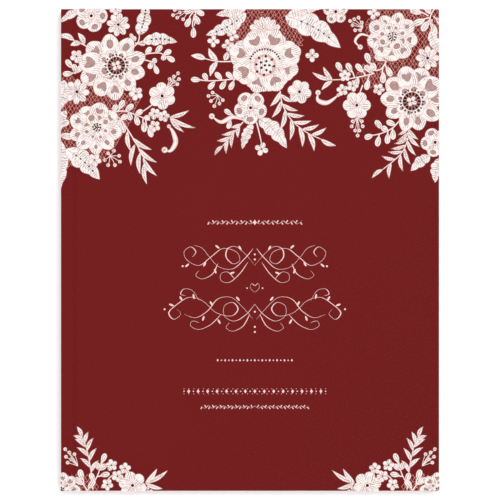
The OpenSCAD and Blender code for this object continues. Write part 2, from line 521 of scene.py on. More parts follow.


# An open sheet with its amount of painted edge shade and rubbing at each point, facing outside on its
# biggest face
def shadedWornSheet(name, verts, faces, uvs, edgeShadeAndWear, outside):
    obj = newObject(name, verts, faces, uvs)
    attribute = obj.data.attributes.new("edgeShadeAndWear", "FLOAT", "POINT")
    attribute.data.foreach_set("value", edgeShadeAndWear)
    bm = bmesh.new()
    bm.from_mesh(obj.data)
    bmesh.ops.remove_doubles(bm, verts=bm.verts, dist=1e-7)
    bmesh.ops.dissolve_degenerate(bm, edges=bm.edges, dist=1e-7)
    bmesh.ops.recalc_face_normals(bm, faces=bm.faces)
    biggest = max(bm.faces, key=lambda f: f.calc_area())
    if biggest.normal.dot(Vector(outside)) < 0:
        bmesh.ops.reverse_faces(bm, faces=bm.faces)
    bm.to_mesh(obj.data)
    bm.free()
    creaseByAngle(obj, 50)
    return obj


# The covering sheet of one cover, from the spine's corner to the turn-ins
def wrapMesh(name):
    r = caseWork["edgeRound"]
    steps = caseWork["arcSteps"]
    cr = caseWork["cornerRound"]
    verts, uvs, faces, edgeShadeAndWear = [], [], [], []

    def put(point, u, v, shadeAndRub):
        verts.append(point)
        uvs.append((u / mapScale, v / mapScale))
        edgeShadeAndWear.append(shadeAndRub)
        return len(verts) - 1

    # columns of the part that isn't flat: spine corner, joint and groove
    columns = [r - r * math.pi / 2 * k / steps for k in range(steps, 0, -1)] + bendLines()
    startsBoard = columns[-1]

    def rimProfile(thick, jr):
        quarter = jr * math.pi / 2
        flat = r - jr
        pasts = [0.0] if flat == 0 else [0.0, flat]
        pasts += [flat + quarter * (k + 1) / steps for k in range(steps)]
        side = flat + quarter + thick - 2 * jr
        pasts += [side + quarter * k / steps for k in range(steps + 1)]
        while len(pasts) < 3 + 2 * steps:             # both profiles have the same number of points
            pasts.insert(1, 0.0)
        pasts.append(side + quarter + caseWork["turnIn"] - jr)
        return pasts

    boardRim = rimProfile(boardThick, r)
    jointRim = rimProfile(jointThick, caseWork["jointRound"])

    # amount of painted edge shade and rubbing: full over the rounded edge, fainter on either side of it
    def shadeAndRub(past):
        if caseWork["shadeAndWearFrom"] < past < caseWork["shadeAndWearTo"]:
            return 1.0
        return 0.35 if past < caseWork["shadeAndWearFade"] else 0.0

    # rim samples around head, fore-edge and tail: a list of columns of vertex numbers
    rim = []

    def sideColumn(u, sign, profile, board):
        column = []
        for past in profile:
            v = r - past if sign > 0 else coverHigh - r + past
            uu = u if board else min(u, jointEnd - 1e-4)
            p = onFrontCover(uu, v, 0.0)
            inset = r - overEdge(past, boardThick, r, 0.0)[0]
            if u > jointEnd:
                p.x = left + min(u, coverWide - max(inset, cr))
            column.append(put(p, u, v, shadeAndRub(past)))
        return column

    for u in columns:
        rim.append(sideColumn(u, 1, jointRim, False))
    headStart = len(rim)
    rim.append(sideColumn(startsBoard, 1, boardRim, True))
    rim.append(sideColumn(coverWide - cr, 1, boardRim, True))

    def cornerColumns(sign):
        out = []
        for k in range(1, steps):
            a = math.pi / 2 * k / steps
            if sign < 0:
                a = math.pi / 2 - a
            column = []
            for past in boardRim:
                reach, down = overEdge(past, boardThick, r, 0.0)[:2]
                inset = r - reach
                px, py = coverWide - inset, inset
                if inset <= cr:
                    px = coverWide - cr + (cr - inset) * math.sin(a)
                    py = cr - (cr - inset) * math.cos(a)
                v = py if sign > 0 else coverHigh - py
                point = Vector((left + px, headEdge - v, bookTop - down))
                column.append(put(point, px, v, min(1.0, shadeAndRub(past) * 1.5)))
            out.append(column)
        return out

    def foreColumn(v):
        column = []
        for past in boardRim:
            reach, down = overEdge(past, boardThick, r, 0.0)[:2]
            inset = r - reach
            vv = v
            if inset > cr:
                vv = inset if v < coverHigh / 2 else coverHigh - inset
            point = Vector((left + coverWide - inset, headEdge - vv, bookTop - down))
            column.append(put(point, coverWide - r + past, vv, shadeAndRub(past)))
        return column

    rim += cornerColumns(1)
    rim.append(foreColumn(cr))
    rim.append(foreColumn(coverHigh - cr))
    rim += cornerColumns(-1)
    rim.append(sideColumn(coverWide - cr, -1, boardRim, True))
    tailBoard = len(rim)
    rim.append(sideColumn(startsBoard, -1, boardRim, True))
    for u in reversed(columns):
        rim.append(sideColumn(u, -1, jointRim, False))
    count = len(columns)
    for a, b in zip(rim, rim[1:]):
        for k in range(len(a) - 1):
            faces.append((a[k], b[k], b[k + 1], a[k + 1]))
    # flat part: one face over the board, and a strip between each pair of bend lines
    inner = [column[0] for column in rim[headStart:tailBoard + 1]]
    faces.append(tuple(inner))
    for k in range(count - 1):
        faces.append((rim[k][0], rim[k + 1][0], rim[len(rim) - 2 - k][0], rim[len(rim) - 1 - k][0]))
    faces.append((rim[count - 1][0], rim[headStart][0], rim[tailBoard][0], rim[tailBoard + 1][0]))
    return shadedWornSheet(name, verts, faces, uvs, edgeShadeAndWear, (0, 0, 1))


# Gives the sheet its thickness, on the board's side
def thicken(obj):
    modifier = obj.modifiers.new("paper", "SOLIDIFY")
    modifier.thickness = caseWork["paper"] * caseWork["paperShare"] * toMetres
    modifier.offset = -1
    bpy.context.view_layer.objects.active = obj
    bpy.ops.object.modifier_apply(modifier=modifier.name)


# The back cover is the front cover turned over
def mirrorToBack(obj):
    for vert in obj.data.vertices:
        vert.co.z = bookTop * toMetres - vert.co.z
    obj.data.flip_normals()


# Bakes the paper's placement into its mesh; the two ends of the spine's corner are worked out but not
# used
def blendCover(obj, side):
    r = caseWork["edgeRound"]
    low, high = (left, bookTop - r), (left + r, bookTop)
    if side == "front":
        ends = [(x * toMetres, 0, z * toMetres) for x, z in (low, high)]
        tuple(ends[0])
        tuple(ends[1])
        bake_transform(obj)
    else:
        ends = [(x * toMetres, 0, (bookTop - z) * toMetres) for x, z in (low, high)]
        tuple(ends[1])
        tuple(ends[0])
        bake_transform(obj)


for side in ("front", "back"):
    wrap = wrapMesh(f"{side}_cover_paper")
    thicken(wrap)
    if side == "back":
        mirrorToBack(wrap)
    finishPiece(wrap, redPaper, [f"{side}_wrap"])
    blendCover(wrap, side)
print("stage: cover paper")


# ---- Boards with softened edges ----

boards = {
    "gap": 0.03,                     # between a board and its paper
    "corner": 0.6,
    "edge": 0.42,
    "spineCorner": 0.3,
    "spineEdge": 0.25,
}


def softSlab(name, lo, hi, corner, edge):
    rings, verts, faces = [], [], []
    bends = (0, math.pi / 4, math.pi / 2)
    profile = [(edge * (1 - math.sin(a)), edge * (1 - math.cos(a))) for a in bends]
    levels = [(i, lo.z + d) for i, d in profile] + [(i, hi.z - d) for i, d in reversed(profile)]
    for inset, z in levels:
        ring = []
        for cx, cy, start in ((hi.x, hi.y, 0), (lo.x, hi.y, 90), (lo.x, lo.y, 180), (hi.x, lo.y, 270)):
            rr = max(corner - inset, 0.02)
            ox = cx - math.copysign(inset + rr, cx - (lo.x + hi.x) / 2)
            oy = cy - math.copysign(inset + rr, cy - (lo.y + hi.y) / 2)
            for k in range(4):
                a = math.radians(start + 30 * k)
                verts.append((ox + rr * math.cos(a), oy + rr * math.sin(a), z))
                ring.append(len(verts) - 1)
        rings.append(ring)
    for a, b in zip(rings, rings[1:]):
        for k in range(len(a)):
            n = (k + 1) % len(a)
            faces.append((a[k], a[n], b[n], b[k]))
    faces.append(tuple(reversed(rings[0])))
    faces.append(tuple(rings[-1]))
    obj = newObject(name, verts, faces)
    creaseByAngle(obj, 40)
    return obj


def boardCore(node, corner, edge, body):
    lo, hi = boxMm(node)
    step = Vector((1, 1, 1)) * boards["gap"]
    slab = softSlab(f"{node}_core", lo + step, hi - step, corner, edge)
    finishPiece(slab, greyBoard, [node])
    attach(slab, body)


for side in ("front", "back"):
    boardCore(f"{side}_board", boards["corner"], boards["edge"], f"{side}_cover")
boardCore("spine_board", boards["spineCorner"], boards["spineEdge"], "text_block")


# ---- Spine paper: outer face, turned in over the spine board's ends ----

def spinePaper():
    r = caseWork["jointRound"]
    corner = caseWork["edgeRound"]
    inner = spineHi.x - left + caseWork["paper"]
    low = caseWork["paper"] + 0.05
    levels = [low, corner]
    levels += [corner + (bookTop - 2 * corner) * k / 6 for k in range(1, 6)]
    levels += [bookTop - corner, bookTop - low]
    outline = []                                     # (x, y) from the tail's turn-in to the head's
    turns = [math.pi / 2 * k / 5 for k in range(6)]
    for sign in (-1, 1):
        half = [(inner, headEdge - caseWork["turnIn"]), (inner, headEdge - r)]
        half += [(inner - r + r * math.cos(a), headEdge - r + r * math.sin(a)) for a in turns[1:]]
        half += [(r - r * math.sin(a), headEdge - r + r * math.cos(a)) for a in turns]
        half = [(x, sign * y) for x, y in half]
        outline += half if sign < 0 else list(reversed(half))
    middle = [(0, -headEdge * 0.5), (0, 0), (0, headEdge * 0.5)]
    split = len(outline) // 2
    outline = outline[:split] + middle + outline[split:]
    verts, uvs, faces = [], [], []
    for z in levels:
        tuck = 0.21 if z in (levels[0], levels[-1]) else 0.0    # the long edges lie a little further in
        for x, y in outline:
            verts.append((left + max(x, tuck), y, z))
            uvs.append((-(bookTop - z) / mapScale, (headEdge - y) / mapScale))
    n = len(outline)
    for row in range(len(levels) - 1):
        for k in range(n - 1):
            a = row * n + k
            faces.append((a, a + n, a + n + 1, a + 1))
    # painted shade and rubbing at the spine's head and tail ends
    edgeShadeAndWear = [0.6 if abs(y) > headEdge - 1 else 0.0 for _, y, _ in verts]
    obj = shadedWornSheet("spine_cover_paper", verts, faces, uvs, edgeShadeAndWear, (-1, 0, 0))
    thicken(obj)
    return obj


spine = spinePaper()
finishPiece(spine, redPaper, ["spine_wrap"])
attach(spine, "text_block")
print("stage: boards and spine")


# ---- Lace print, drawn flat: u in millimetres from the spine, v from the head ----

lace = {
    "rim": 0.40,                     # blush line round every white shape
    "stem": 0.78,
    "budSize": 1.28,
    "berry": 1.15,
    "innerWider": 1.28,              # a frond's leaves on the inside of its curve
    "innerShorter": 0.88,
    "netStep": 1.95,
    "netLine": 0.2,
    "overSpine": 5.0,                # how far the print runs on over the spine
    "endGap": 0.3,                   # and stops short of its ends
    "downEdge": 0.9,                 # share of a board's side that the print covers
}
inkLayers = {name: ([], [], []) for name in ("white", "tulle", "thread", "net", "eyelet", "pen")}
# Heights of the ink over the paper, and the steps by which shapes that overlap are kept apart
heights = {"net": 0.02, "stem": 0.03, "leaf": 0.07, "back": 0.11, "bloom": 0.20, "small": 0.32}
liftStep = 0.003
liftCount = 13
shapeMargin = 0.5
placedShapes = []                    # left, right, head, tail and height of every shape drawn so far


# A height on the level where no shape under or over this outline already lies
def nextLift(level, outline):
    us, vs = [p[0] for p in outline], [p[1] for p in outline]
    low, high = min(us) - shapeMargin, max(us) + shapeMargin
    head, tail = min(vs) - shapeMargin, max(vs) + shapeMargin
    taken = {round(lift, 5) for a, b, c, d, lift in placedShapes
             if a < high and b > low and c < tail and d > head}
    first = len(placedShapes)
    choices = [heights[level] + liftStep * ((first + k) % liftCount) for k in range(liftCount)]
    lift = next((c for c in choices if round(c, 5) not in taken), choices[0])
    placedShapes.append((low, high, head, tail, lift))
    return lift


def turned(x, y, angle):
    c, s = math.cos(angle), math.sin(angle)
    return x * c - y * s, x * s + y * c


def ringArea(ring):
    return sum(a[0] * b[1] - b[0] * a[1] for a, b in zip(ring, ring[1:] + ring[:1]))


def offsetInward(ring, amount):
    sign = 1 if ringArea(ring) > 0 else -1
    out = []
    for k, (x, y) in enumerate(ring):
        ax, ay = ring[k - 1]
        bx, by = ring[(k + 1) % len(ring)]
        size = math.hypot(bx - ax, by - ay) or 1
        out.append((x - sign * (by - ay) / size * amount, y + sign * (bx - ax) / size * amount))
    return out


# A filled shape with a line round it. across gives the hatching coordinate of a point.
def inkShape(layer, ring, lift, rim, across=None):
    if ringArea(ring) > 0:
        ring = list(reversed(ring))
    verts, uvs, faces = inkLayers[layer]
    base, n = len(verts), len(ring)
    for points, edge in ((ring, 1.0), (offsetInward(ring, rim), 0.0)):
        for p in points:
            verts.append((p[0], p[1], lift))
            uvs.append((across(p) if across else p[0], edge))
    for k in range(n):
        j = (k + 1) % n
        faces.append((base + k, base + j, base + n + j, base + n + k))
    faces.append(tuple(range(base + n, base + 2 * n)))


def smoothPath(points, steps=7):
    padded = [points[0]] + list(points) + [points[-1]]
    out = []
    for i in range(1, len(padded) - 2):
        p0, p1, p2, p3 = padded[i - 1:i + 3]
        for k in range(steps):
            t = k / steps
            out.append(tuple(
                0.5 * (2 * b + (c - a) * t + (2 * a - 5 * b + 4 * c - d) * t * t
                       + (3 * b - a - 3 * c + d) * t ** 3)
                for a, b, c, d in zip(p0, p1, p2, p3)
            ))
    out.append(tuple(points[-1]))
    return out


# A drawn line. widths is one number or a function of the share of its length
def inkLine(layer, path, width, lift, climb=0.001):
    verts, uvs, faces = inkLayers[layer]
    base, n = len(verts), len(path)
    for k, (x, y) in enumerate(path):
        ax, ay = path[max(k - 1, 0)]
        bx, by = path[min(k + 1, n - 1)]
        size = math.hypot(bx - ax, by - ay) or 1
        nx, ny = -(by - ay) / size, (bx - ax) / size
        wide = (width(k / (n - 1)) if callable(width) else width) / 2
        rise = lift + climb * k / n
        for side in (1, 0, -1):
            verts.append((x + nx * wide * side, y + ny * wide * side, rise))
            uvs.append((0.0, 0.62 * abs(side)))
    for k in range(n - 1):
        for j in (0, 1):
            a = base + k * 3 + j
            faces.append((a, a + 1, a + 4, a + 3))


def dot(layer, u, v, r, lift, sides=10, stretch=1.0, angle=0.0):
    ring = []
    for k in range(sides):
        a = -2 * math.pi * k / sides
        x, y = turned(r * math.cos(a) * stretch, r * math.sin(a), angle)
        ring.append((u + x, v + y))
    inkShape(layer, ring, lift, r * 0.35)


# Petal or bud outline, from its narrow base at (0, 0) to a round end
def petalRing(long, wide, scallop=0.0, bumps=5, points=0, full=0.75):
    ring = []
    points = points or (60 if scallop > 0.5 else 40 if long > 6 else 22)
    for k in range(points):
        a = 2 * math.pi * (k + 0.5) / points
        x = long * (1 - math.cos(a)) / 2
        y = wide / 2 * math.sin(a) * ((1 - math.cos(a)) / 2) ** (1 - full) * 1.12
        wave = scallop * (abs(math.cos(bumps * (a - math.pi) / 2)) - 0.5) * (1 - math.cos(a)) / 2
        ring.append((x + wave * -math.cos(a), y + wave * math.sin(a)))
    return ring


def placeRing(ring, u, v, angle):
    return [(u + x, v + y) for x, y in (turned(px, py, angle) for px, py in ring)]


# The hatching's coordinate, across a shape that starts at u, v
def acrossFrom(u, v, angle, slant=0.0):
    def across(p):
        x, y = turned(p[0] - u, p[1] - v, -angle)
        return y + slant * x
    return across


# Oval or heart of tulle, with a few drawn threads
def tullePatch(u, v, angle, long, wide, lift, heart=False):
    ring = []
    for k in range(18):
        a = 2 * math.pi * k / 18
        x, y = long / 2 * math.cos(a), wide / 2 * math.sin(a)
        if heart:
            y *= 1 + 0.30 * math.cos(a)
            x -= 0.34 * long * max(0.0, math.cos(a)) ** 6
        ring.append((x, y))
    rim = min(0.42, wide * 0.2)
    inkShape("tulle", placeRing(ring, u, v, angle), lift, rim, acrossFrom(u, v, angle))
    for offset in (-0.30, -0.08, 0.16) if wide > 1.8 else (0.0,):
        side = wide * offset
        line = [(-long * 0.36, side * 0.4), (0, side), (long * 0.26, side * 1.25)]
        inkLine("thread", placeRing(line, u, v, angle), 0.2, lift + 0.0012)


def petal(u, v, angle, long, wide, lift, scallop=0.0, bumps=3, patch=0.0, heart=False):
    ring = placeRing(petalRing(long, wide, scallop, bumps), u, v, angle)
    inkShape("white", ring, lift, lace["rim"], acrossFrom(u, v, angle))
    if patch:
        x, y = turned(long * 0.70, 0, angle)
        tullePatch(u + x, v + y, angle, long * 0.32 * patch, wide * 0.42 * patch, lift + 0.002, heart)


petalStep = 0.0045                   # each petal lies this much above the one before


# Small flower of radiating petals round an eyelet
def smallBloom(u, v, r, petals=8, turn=0.0, level="small", patch=0.0, heart=False, round=1.0):
    base = nextLift(level, [(u - r, v - r), (u + r, v + r)])
    for k in range(petals):
        angle = math.radians(turn) + 2 * math.pi * k / petals
        wide = min(2 * math.pi * r * 0.78 / petals, 0.80 * r) * round
        lift = base + petalStep * k
        petal(u, v, angle, r, wide, lift, 0.35 if r > 5 else 0.0, 3, patch, heart)
    dot("white", u, v, r * 0.24, base + 0.040)
    dot("eyelet", u, v, min(0.95, max(0.5, r * 0.13)), base + 0.044)
    if petals == 8 or r > 6.2:
        for k in range(petals):
            angle = math.radians(turn) + 2 * math.pi * (k + 0.5) / petals
            line = [(r * 0.34, 0), (r * 0.62, 0)]
            inkLine("thread", placeRing(line, u, v, angle), 0.22, base + 0.038)


# A full flower: rows of lobed petals, a patch of tulle in each, and a worked centre
# eyeAt moves its centre, flat shortens it up and down, and heavy is the side with the widest petals
def fullBloom(u, v, r, seed, rows, eyeAt=(0, 0), flat=1.0, turn=0, heavy=None, scallop=0.3, bumps=5):
    rnd = random.Random(seed)
    lift = heights["bloom"] + liftStep * (seed % 5)
    for row, (share, count, patch) in enumerate(rows):
        ou, ov = (eyeAt[0] * r * row * 0.8, eyeAt[1] * r * row * 0.8)
        for k in sorted(range(count), key=lambda k: (k % 2, k)):
            angle = math.radians(turn + 13 * row) + 2 * math.pi * (k + rnd.uniform(-0.12, 0.12)) / count
            long = r * share * rnd.uniform(0.93, 1.05) * (1 - (1 - flat) * abs(math.sin(angle)))
            wide = 2 * math.pi * r * share * 0.90 / count * rnd.uniform(0.98, 1.14)
            size = patch * rnd.uniform(0.85, 1.15)
            lean = 0.0 if heavy is None else math.cos(angle - math.radians(heavy))
            wide *= 1 + 0.16 * lean
            size *= 1 + 0.22 * lean
            heart = row == 0 and (heavy is None or lean > 0.15)
            lift += petalStep
            petal(u + ou, v + ov, angle, long, wide, lift, 0.2 if row else scallop, bumps, size, heart)
    return u + eyeAt[0] * r, v + eyeAt[1] * r, lift + petalStep


# Openwork eye: a ring of net in the cover's red, eyelets round it and a four-petalled core
def openEye(u, v, lift, r):
    dot("eyelet", u, v, r, lift, 28)
    for k in range(14):
        a = 2 * math.pi * k / 14
        for lean in (0.3, -0.3):
            line = [(r * 0.5 * math.cos(a), r * 0.5 * math.sin(a)),
                    (r * 0.98 * math.cos(a + lean), r * 0.98 * math.sin(a + lean))]
            inkLine("net", [(u + x, v + y) for x, y in line], 0.2, lift + 0.004)
    for k in range(20):
        a = 2 * math.pi * k / 20
        x, y = r * 1.24 * math.cos(a), r * 1.24 * math.sin(a)
        dot("eyelet", u + x, v + y, 0.5, lift + 0.003, 8, 1.4, a)
    for k in range(4):
        petal(u, v, math.pi / 2 * k + 0.5, r * 0.6, r * 0.52, lift + 0.008 + 0.001 * k)
    dot("eyelet", u, v, 0.5, lift + 0.013)


# Worked eye: a cluster of eyelets on white
def dottedEye(u, v, lift, r, seed, size=0.5):
    rnd = random.Random(seed)
    dot("white", u, v, r, lift, 20)
    for ring, count in ((0.0, 1), (0.42, 5), (0.82, 8)):
        for k in range(count):
            a = 2 * math.pi * k / count + ring * 3
            rr = r * ring * rnd.uniform(0.9, 1.1)
            dot("eyelet", u + rr * math.cos(a), v + rr * math.sin(a), size, lift + 0.003, 8, 1.2, a)


# Slim pointed leaf with a stitched seam
def lanceLeaf(base, tip, wide, bend=0.08):
    du, dv = tip[0] - base[0], tip[1] - base[1]
    long, angle = math.hypot(du, dv), math.atan2(dv, du)

    def middle(t):
        return long * bend * math.sin(math.pi * t)

    up, down = [], []
    for k in range(1, 10):
        t = k / 10
        half = wide / 2 * math.sin(math.pi * t ** 0.85) ** 0.9
        up.append((long * t, middle(t) + half))
        down.append((long * t, middle(t) - half))
    ring = [(0, 0)] + up + [(long, 0)] + list(reversed(down))
    ring = placeRing(ring, *base, angle)
    lift = nextLift("leaf", ring)
    inkShape("white", ring, lift, min(lace["rim"], wide * 0.2), acrossFrom(*base, angle, 0.6))
    count = max(2, int(long / 1.7))
    for k in range(count):
        t = 0.22 + 0.55 * k / count
        (x, y), = placeRing([(long * t, middle(t))], *base, angle)
        dot("thread", x, y, 0.26, lift + 0.002, 7, 1.5, angle)


# Broad leaf: scalloped outline, slanted hatching, midrib and a row of eyelets
def broadLeaf(base, tip, wide, scallops=4, eyelets=5, bend=0.06):
    du, dv = tip[0] - base[0], tip[1] - base[1]
    long, angle = math.hypot(du, dv), math.atan2(dv, du)

    def middle(t):
        return long * bend * math.sin(math.pi * t)

    up, down = [], []
    count = 30
    for k in range(1, count):
        t = k / count
        wave = abs(math.sin(math.pi * scallops * t)) ** 0.7
        half = wide / 2 * math.sin(math.pi * t ** 0.82) ** 0.75
        half *= (0.74 + 0.28 * wave) * (1 - 0.2 * t)
        up.append((long * t, middle(t) + half))
        down.append((long * t, middle(t) - half))
    ring = placeRing([(0, 0)] + up + [(long, 0)] + list(reversed(down)), *base, angle)
    lift = nextLift("leaf", ring)

    def across(p):
        x, y = turned(p[0] - base[0], p[1] - base[1], -angle)
        return x * 0.85 - abs(y - middle(x / long)) * 0.65

    inkShape("white", ring, lift, lace["rim"], across)
    rib = placeRing([(long * t, middle(t)) for t in (0.05, 0.3, 0.6, 0.94)], *base, angle)
    inkLine("thread", smoothPath(rib, 4), 0.2, lift + 0.0016)
    for k in range(eyelets):
        t = 0.26 + 0.5 * k / max(eyelets - 1, 1)
        (x, y), = placeRing([(long * t, middle(t))], *base, angle)
        dot("eyelet", x, y, 0.52, lift + 0.0027, 9, 1.25, angle)
    for k in range(2 * scallops):
        t = 0.2 + 0.6 * k / (2 * scallops)
        reach = 0.56 * wide / 2 * math.sin(math.pi * t ** 0.82) ** 0.75
        for side in (1, -1):
            y = middle(t)
            vein = [(long * t, y + side * 0.5), (long * (t + 0.05), y + side * reach)]
            inkLine("thread", placeRing(vein, *base, angle), 0.16, lift + 0.0007)


def stem(points, wide=lace["stem"]):
    inkLine("white", smoothPath(points), lambda t: wide * (1.15 - 0.4 * t), nextLift("stem", points))


def bud(base, tip, wide=2.6):
    wide *= lace["budSize"]
    du, dv = tip[0] - base[0], tip[1] - base[1]
    long, angle = math.hypot(du, dv), math.atan2(dv, du)
    size = min(long, wide * 1.75)
    start = long - size
    if start > 0.3:
        mid = (base[0] + du * 0.4 - dv * 0.06, base[1] + dv * 0.4 + du * 0.06)
        stem([base, mid, (tip[0] - du / long * size * 0.8, tip[1] - dv / long * size * 0.8)])
    u, v = base[0] + du / long * start, base[1] + dv / long * start
    ring = placeRing(petalRing(size, wide, points=16), u, v, angle)
    lift = nextLift("leaf", ring)
    inkShape("white", ring, lift, 0.3, acrossFrom(u, v, angle))
    x, y = turned(size * 0.22, 0, angle)
    loop = placeRing(petalRing(size * 0.6, wide * 0.46, points=12), u + x, v + y, angle)
    inkLine("thread", loop + loop[:1], 0.15, lift + 0.0012)


def buds(wide, *pairs):
    for root, tip in pairs:
        bud(root, tip, wide)


def lanceLeaves(wide, *pairs):
    for root, tip in pairs:
        lanceLeaf(root, tip, wide)


# A few small flowers, each turned by its own amount
def smallBlooms(r, petals, spin, *places, level="small"):
    for u, v in places:
        smallBloom(u, v, r, petals, u * spin, level)


# Stem with buds along it. Each bud is given by its tip, and joins the stem a little way back from it.
def budSprig(path, tips, wide=2.6):
    line = smoothPath(path)
    stem(path)
    for tip in tips:
        near = min(range(len(line)), key=lambda k: math.dist(line[k], tip))
        start = line[max(near - 3, 0)]
        bud(start, tip, wide)


# A stem with lance leaves in pairs, longest in its middle. inner is the side inside its curve, where
# the leaves open wider
def frond(path, pairs, long, wide, spread, first=0.12, even=0.55, inner=0):
    line = smoothPath(path, 10)
    stem(path, wide=0.7)
    for k in range(pairs):
        t = first + (0.96 - first) * k / pairs
        index = int(t * (len(line) - 2))
        (ax, ay), (bx, by) = line[index:index + 2]
        heading = math.atan2(by - ay, bx - ax)
        size = long * (even + (1 - even) * math.sin(math.pi * min(0.95, t * 1.05)) ** 0.8)
        for side in (1, -1):
            if side < 0:
                index = min(index + 2, len(line) - 2)
            ax, ay = line[index]
            wider, shorter = (lace["innerWider"], lace["innerShorter"]) if side == inner else (1, 1)
            angle = heading + side * math.radians(spread * wider)
            tip = (ax + size * shorter * math.cos(angle), ay + size * shorter * math.sin(angle))
            lanceLeaf((ax, ay), tip, wide * shorter, -0.09 * side)
    (ax, ay), (bx, by) = line[-3], line[-1]
    size = math.hypot(bx - ax, by - ay) or 1
    tip = (bx + (bx - ax) / size * long * 0.8, by + (by - ay) / size * long * 0.8)
    lanceLeaf((bx, by), tip, wide)


def berries(root, *places):
    r = lace["berry"]
    for place in places:
        mid = ((root[0] + place[0]) / 2 + 0.3, (root[1] + place[1]) / 2)
        stem([root, mid, place], wide=0.42)
    for u, v in places:
        lift = nextLift("leaf", [(u - r, v - r), (u + r, v + r)])
        dot("white", u, v, r, lift, 12)
        dot("tulle", u, v, r * 0.36, lift + 0.0015, 8)


# Curled tendril that thickens in the bend and ends in balls
def scroll(path, wide=2.2, ball=1.25):
    line = smoothPath(path)
    lift = nextLift("leaf", line)

    def width(t):
        return 0.6 + (wide - 0.6) * math.sin(math.pi * min(1, t * 1.05)) ** 1.2

    inkLine("white", line, width, lift)
    for (u, v), r in ((path[0], ball * 0.8), (path[-1], ball * 1.25)):
        dot("white", u, v, r, lift + 0.0014, 14)
        dot("tulle", u, v, r * 0.3, lift + 0.0027, 8)


def insidePolygon(u, v, ring):
    inside = False
    for (ax, ay), (bx, by) in zip(ring, ring[1:] + ring[:1]):
        if (ay > v) != (by > v) and u < (bx - ax) * (v - ay) / (by - ay) + ax:
            inside = not inside
    return inside


# Uneven net, seen between the flowers
def netGround(ring, seed=1):
    pitchU, pitchV = lace["netStep"] * 1.15, lace["netStep"] * 0.92
    us, vs = [p[0] for p in ring], [p[1] for p in ring]
    nodes = {}

    def node(i, j):
        if (i, j) not in nodes:
            rnd = random.Random(i * 92821 + j * 689287 + seed)
            u = (i + 0.5 * (j % 2)) * pitchU + rnd.uniform(-0.42, 0.42)
            v = j * pitchV + rnd.uniform(-0.42, 0.42)
            nodes[(i, j)] = (u, v)
        return nodes[(i, j)]

    for i in range(int(min(us) / pitchU) - 2, int(max(us) / pitchU) + 2):
        for j in range(int(min(vs) / pitchV) - 2, int(max(vs) / pitchV) + 2):
            here = node(i, j)
            if not insidePolygon(*here, ring):
                continue
            side = j % 2
            links = [node(i + side, j + 1), node(i - 1 + side, j + 1)]
            if (i + 2 * j) % 3 == 0:
                links.append(node(i + 1, j))
            for other in links:
                if insidePolygon(*other, ring):
                    inkLine("net", [here, other], lace["netLine"], heights["net"], 0.004)


# ---- Lace print, laid out ----

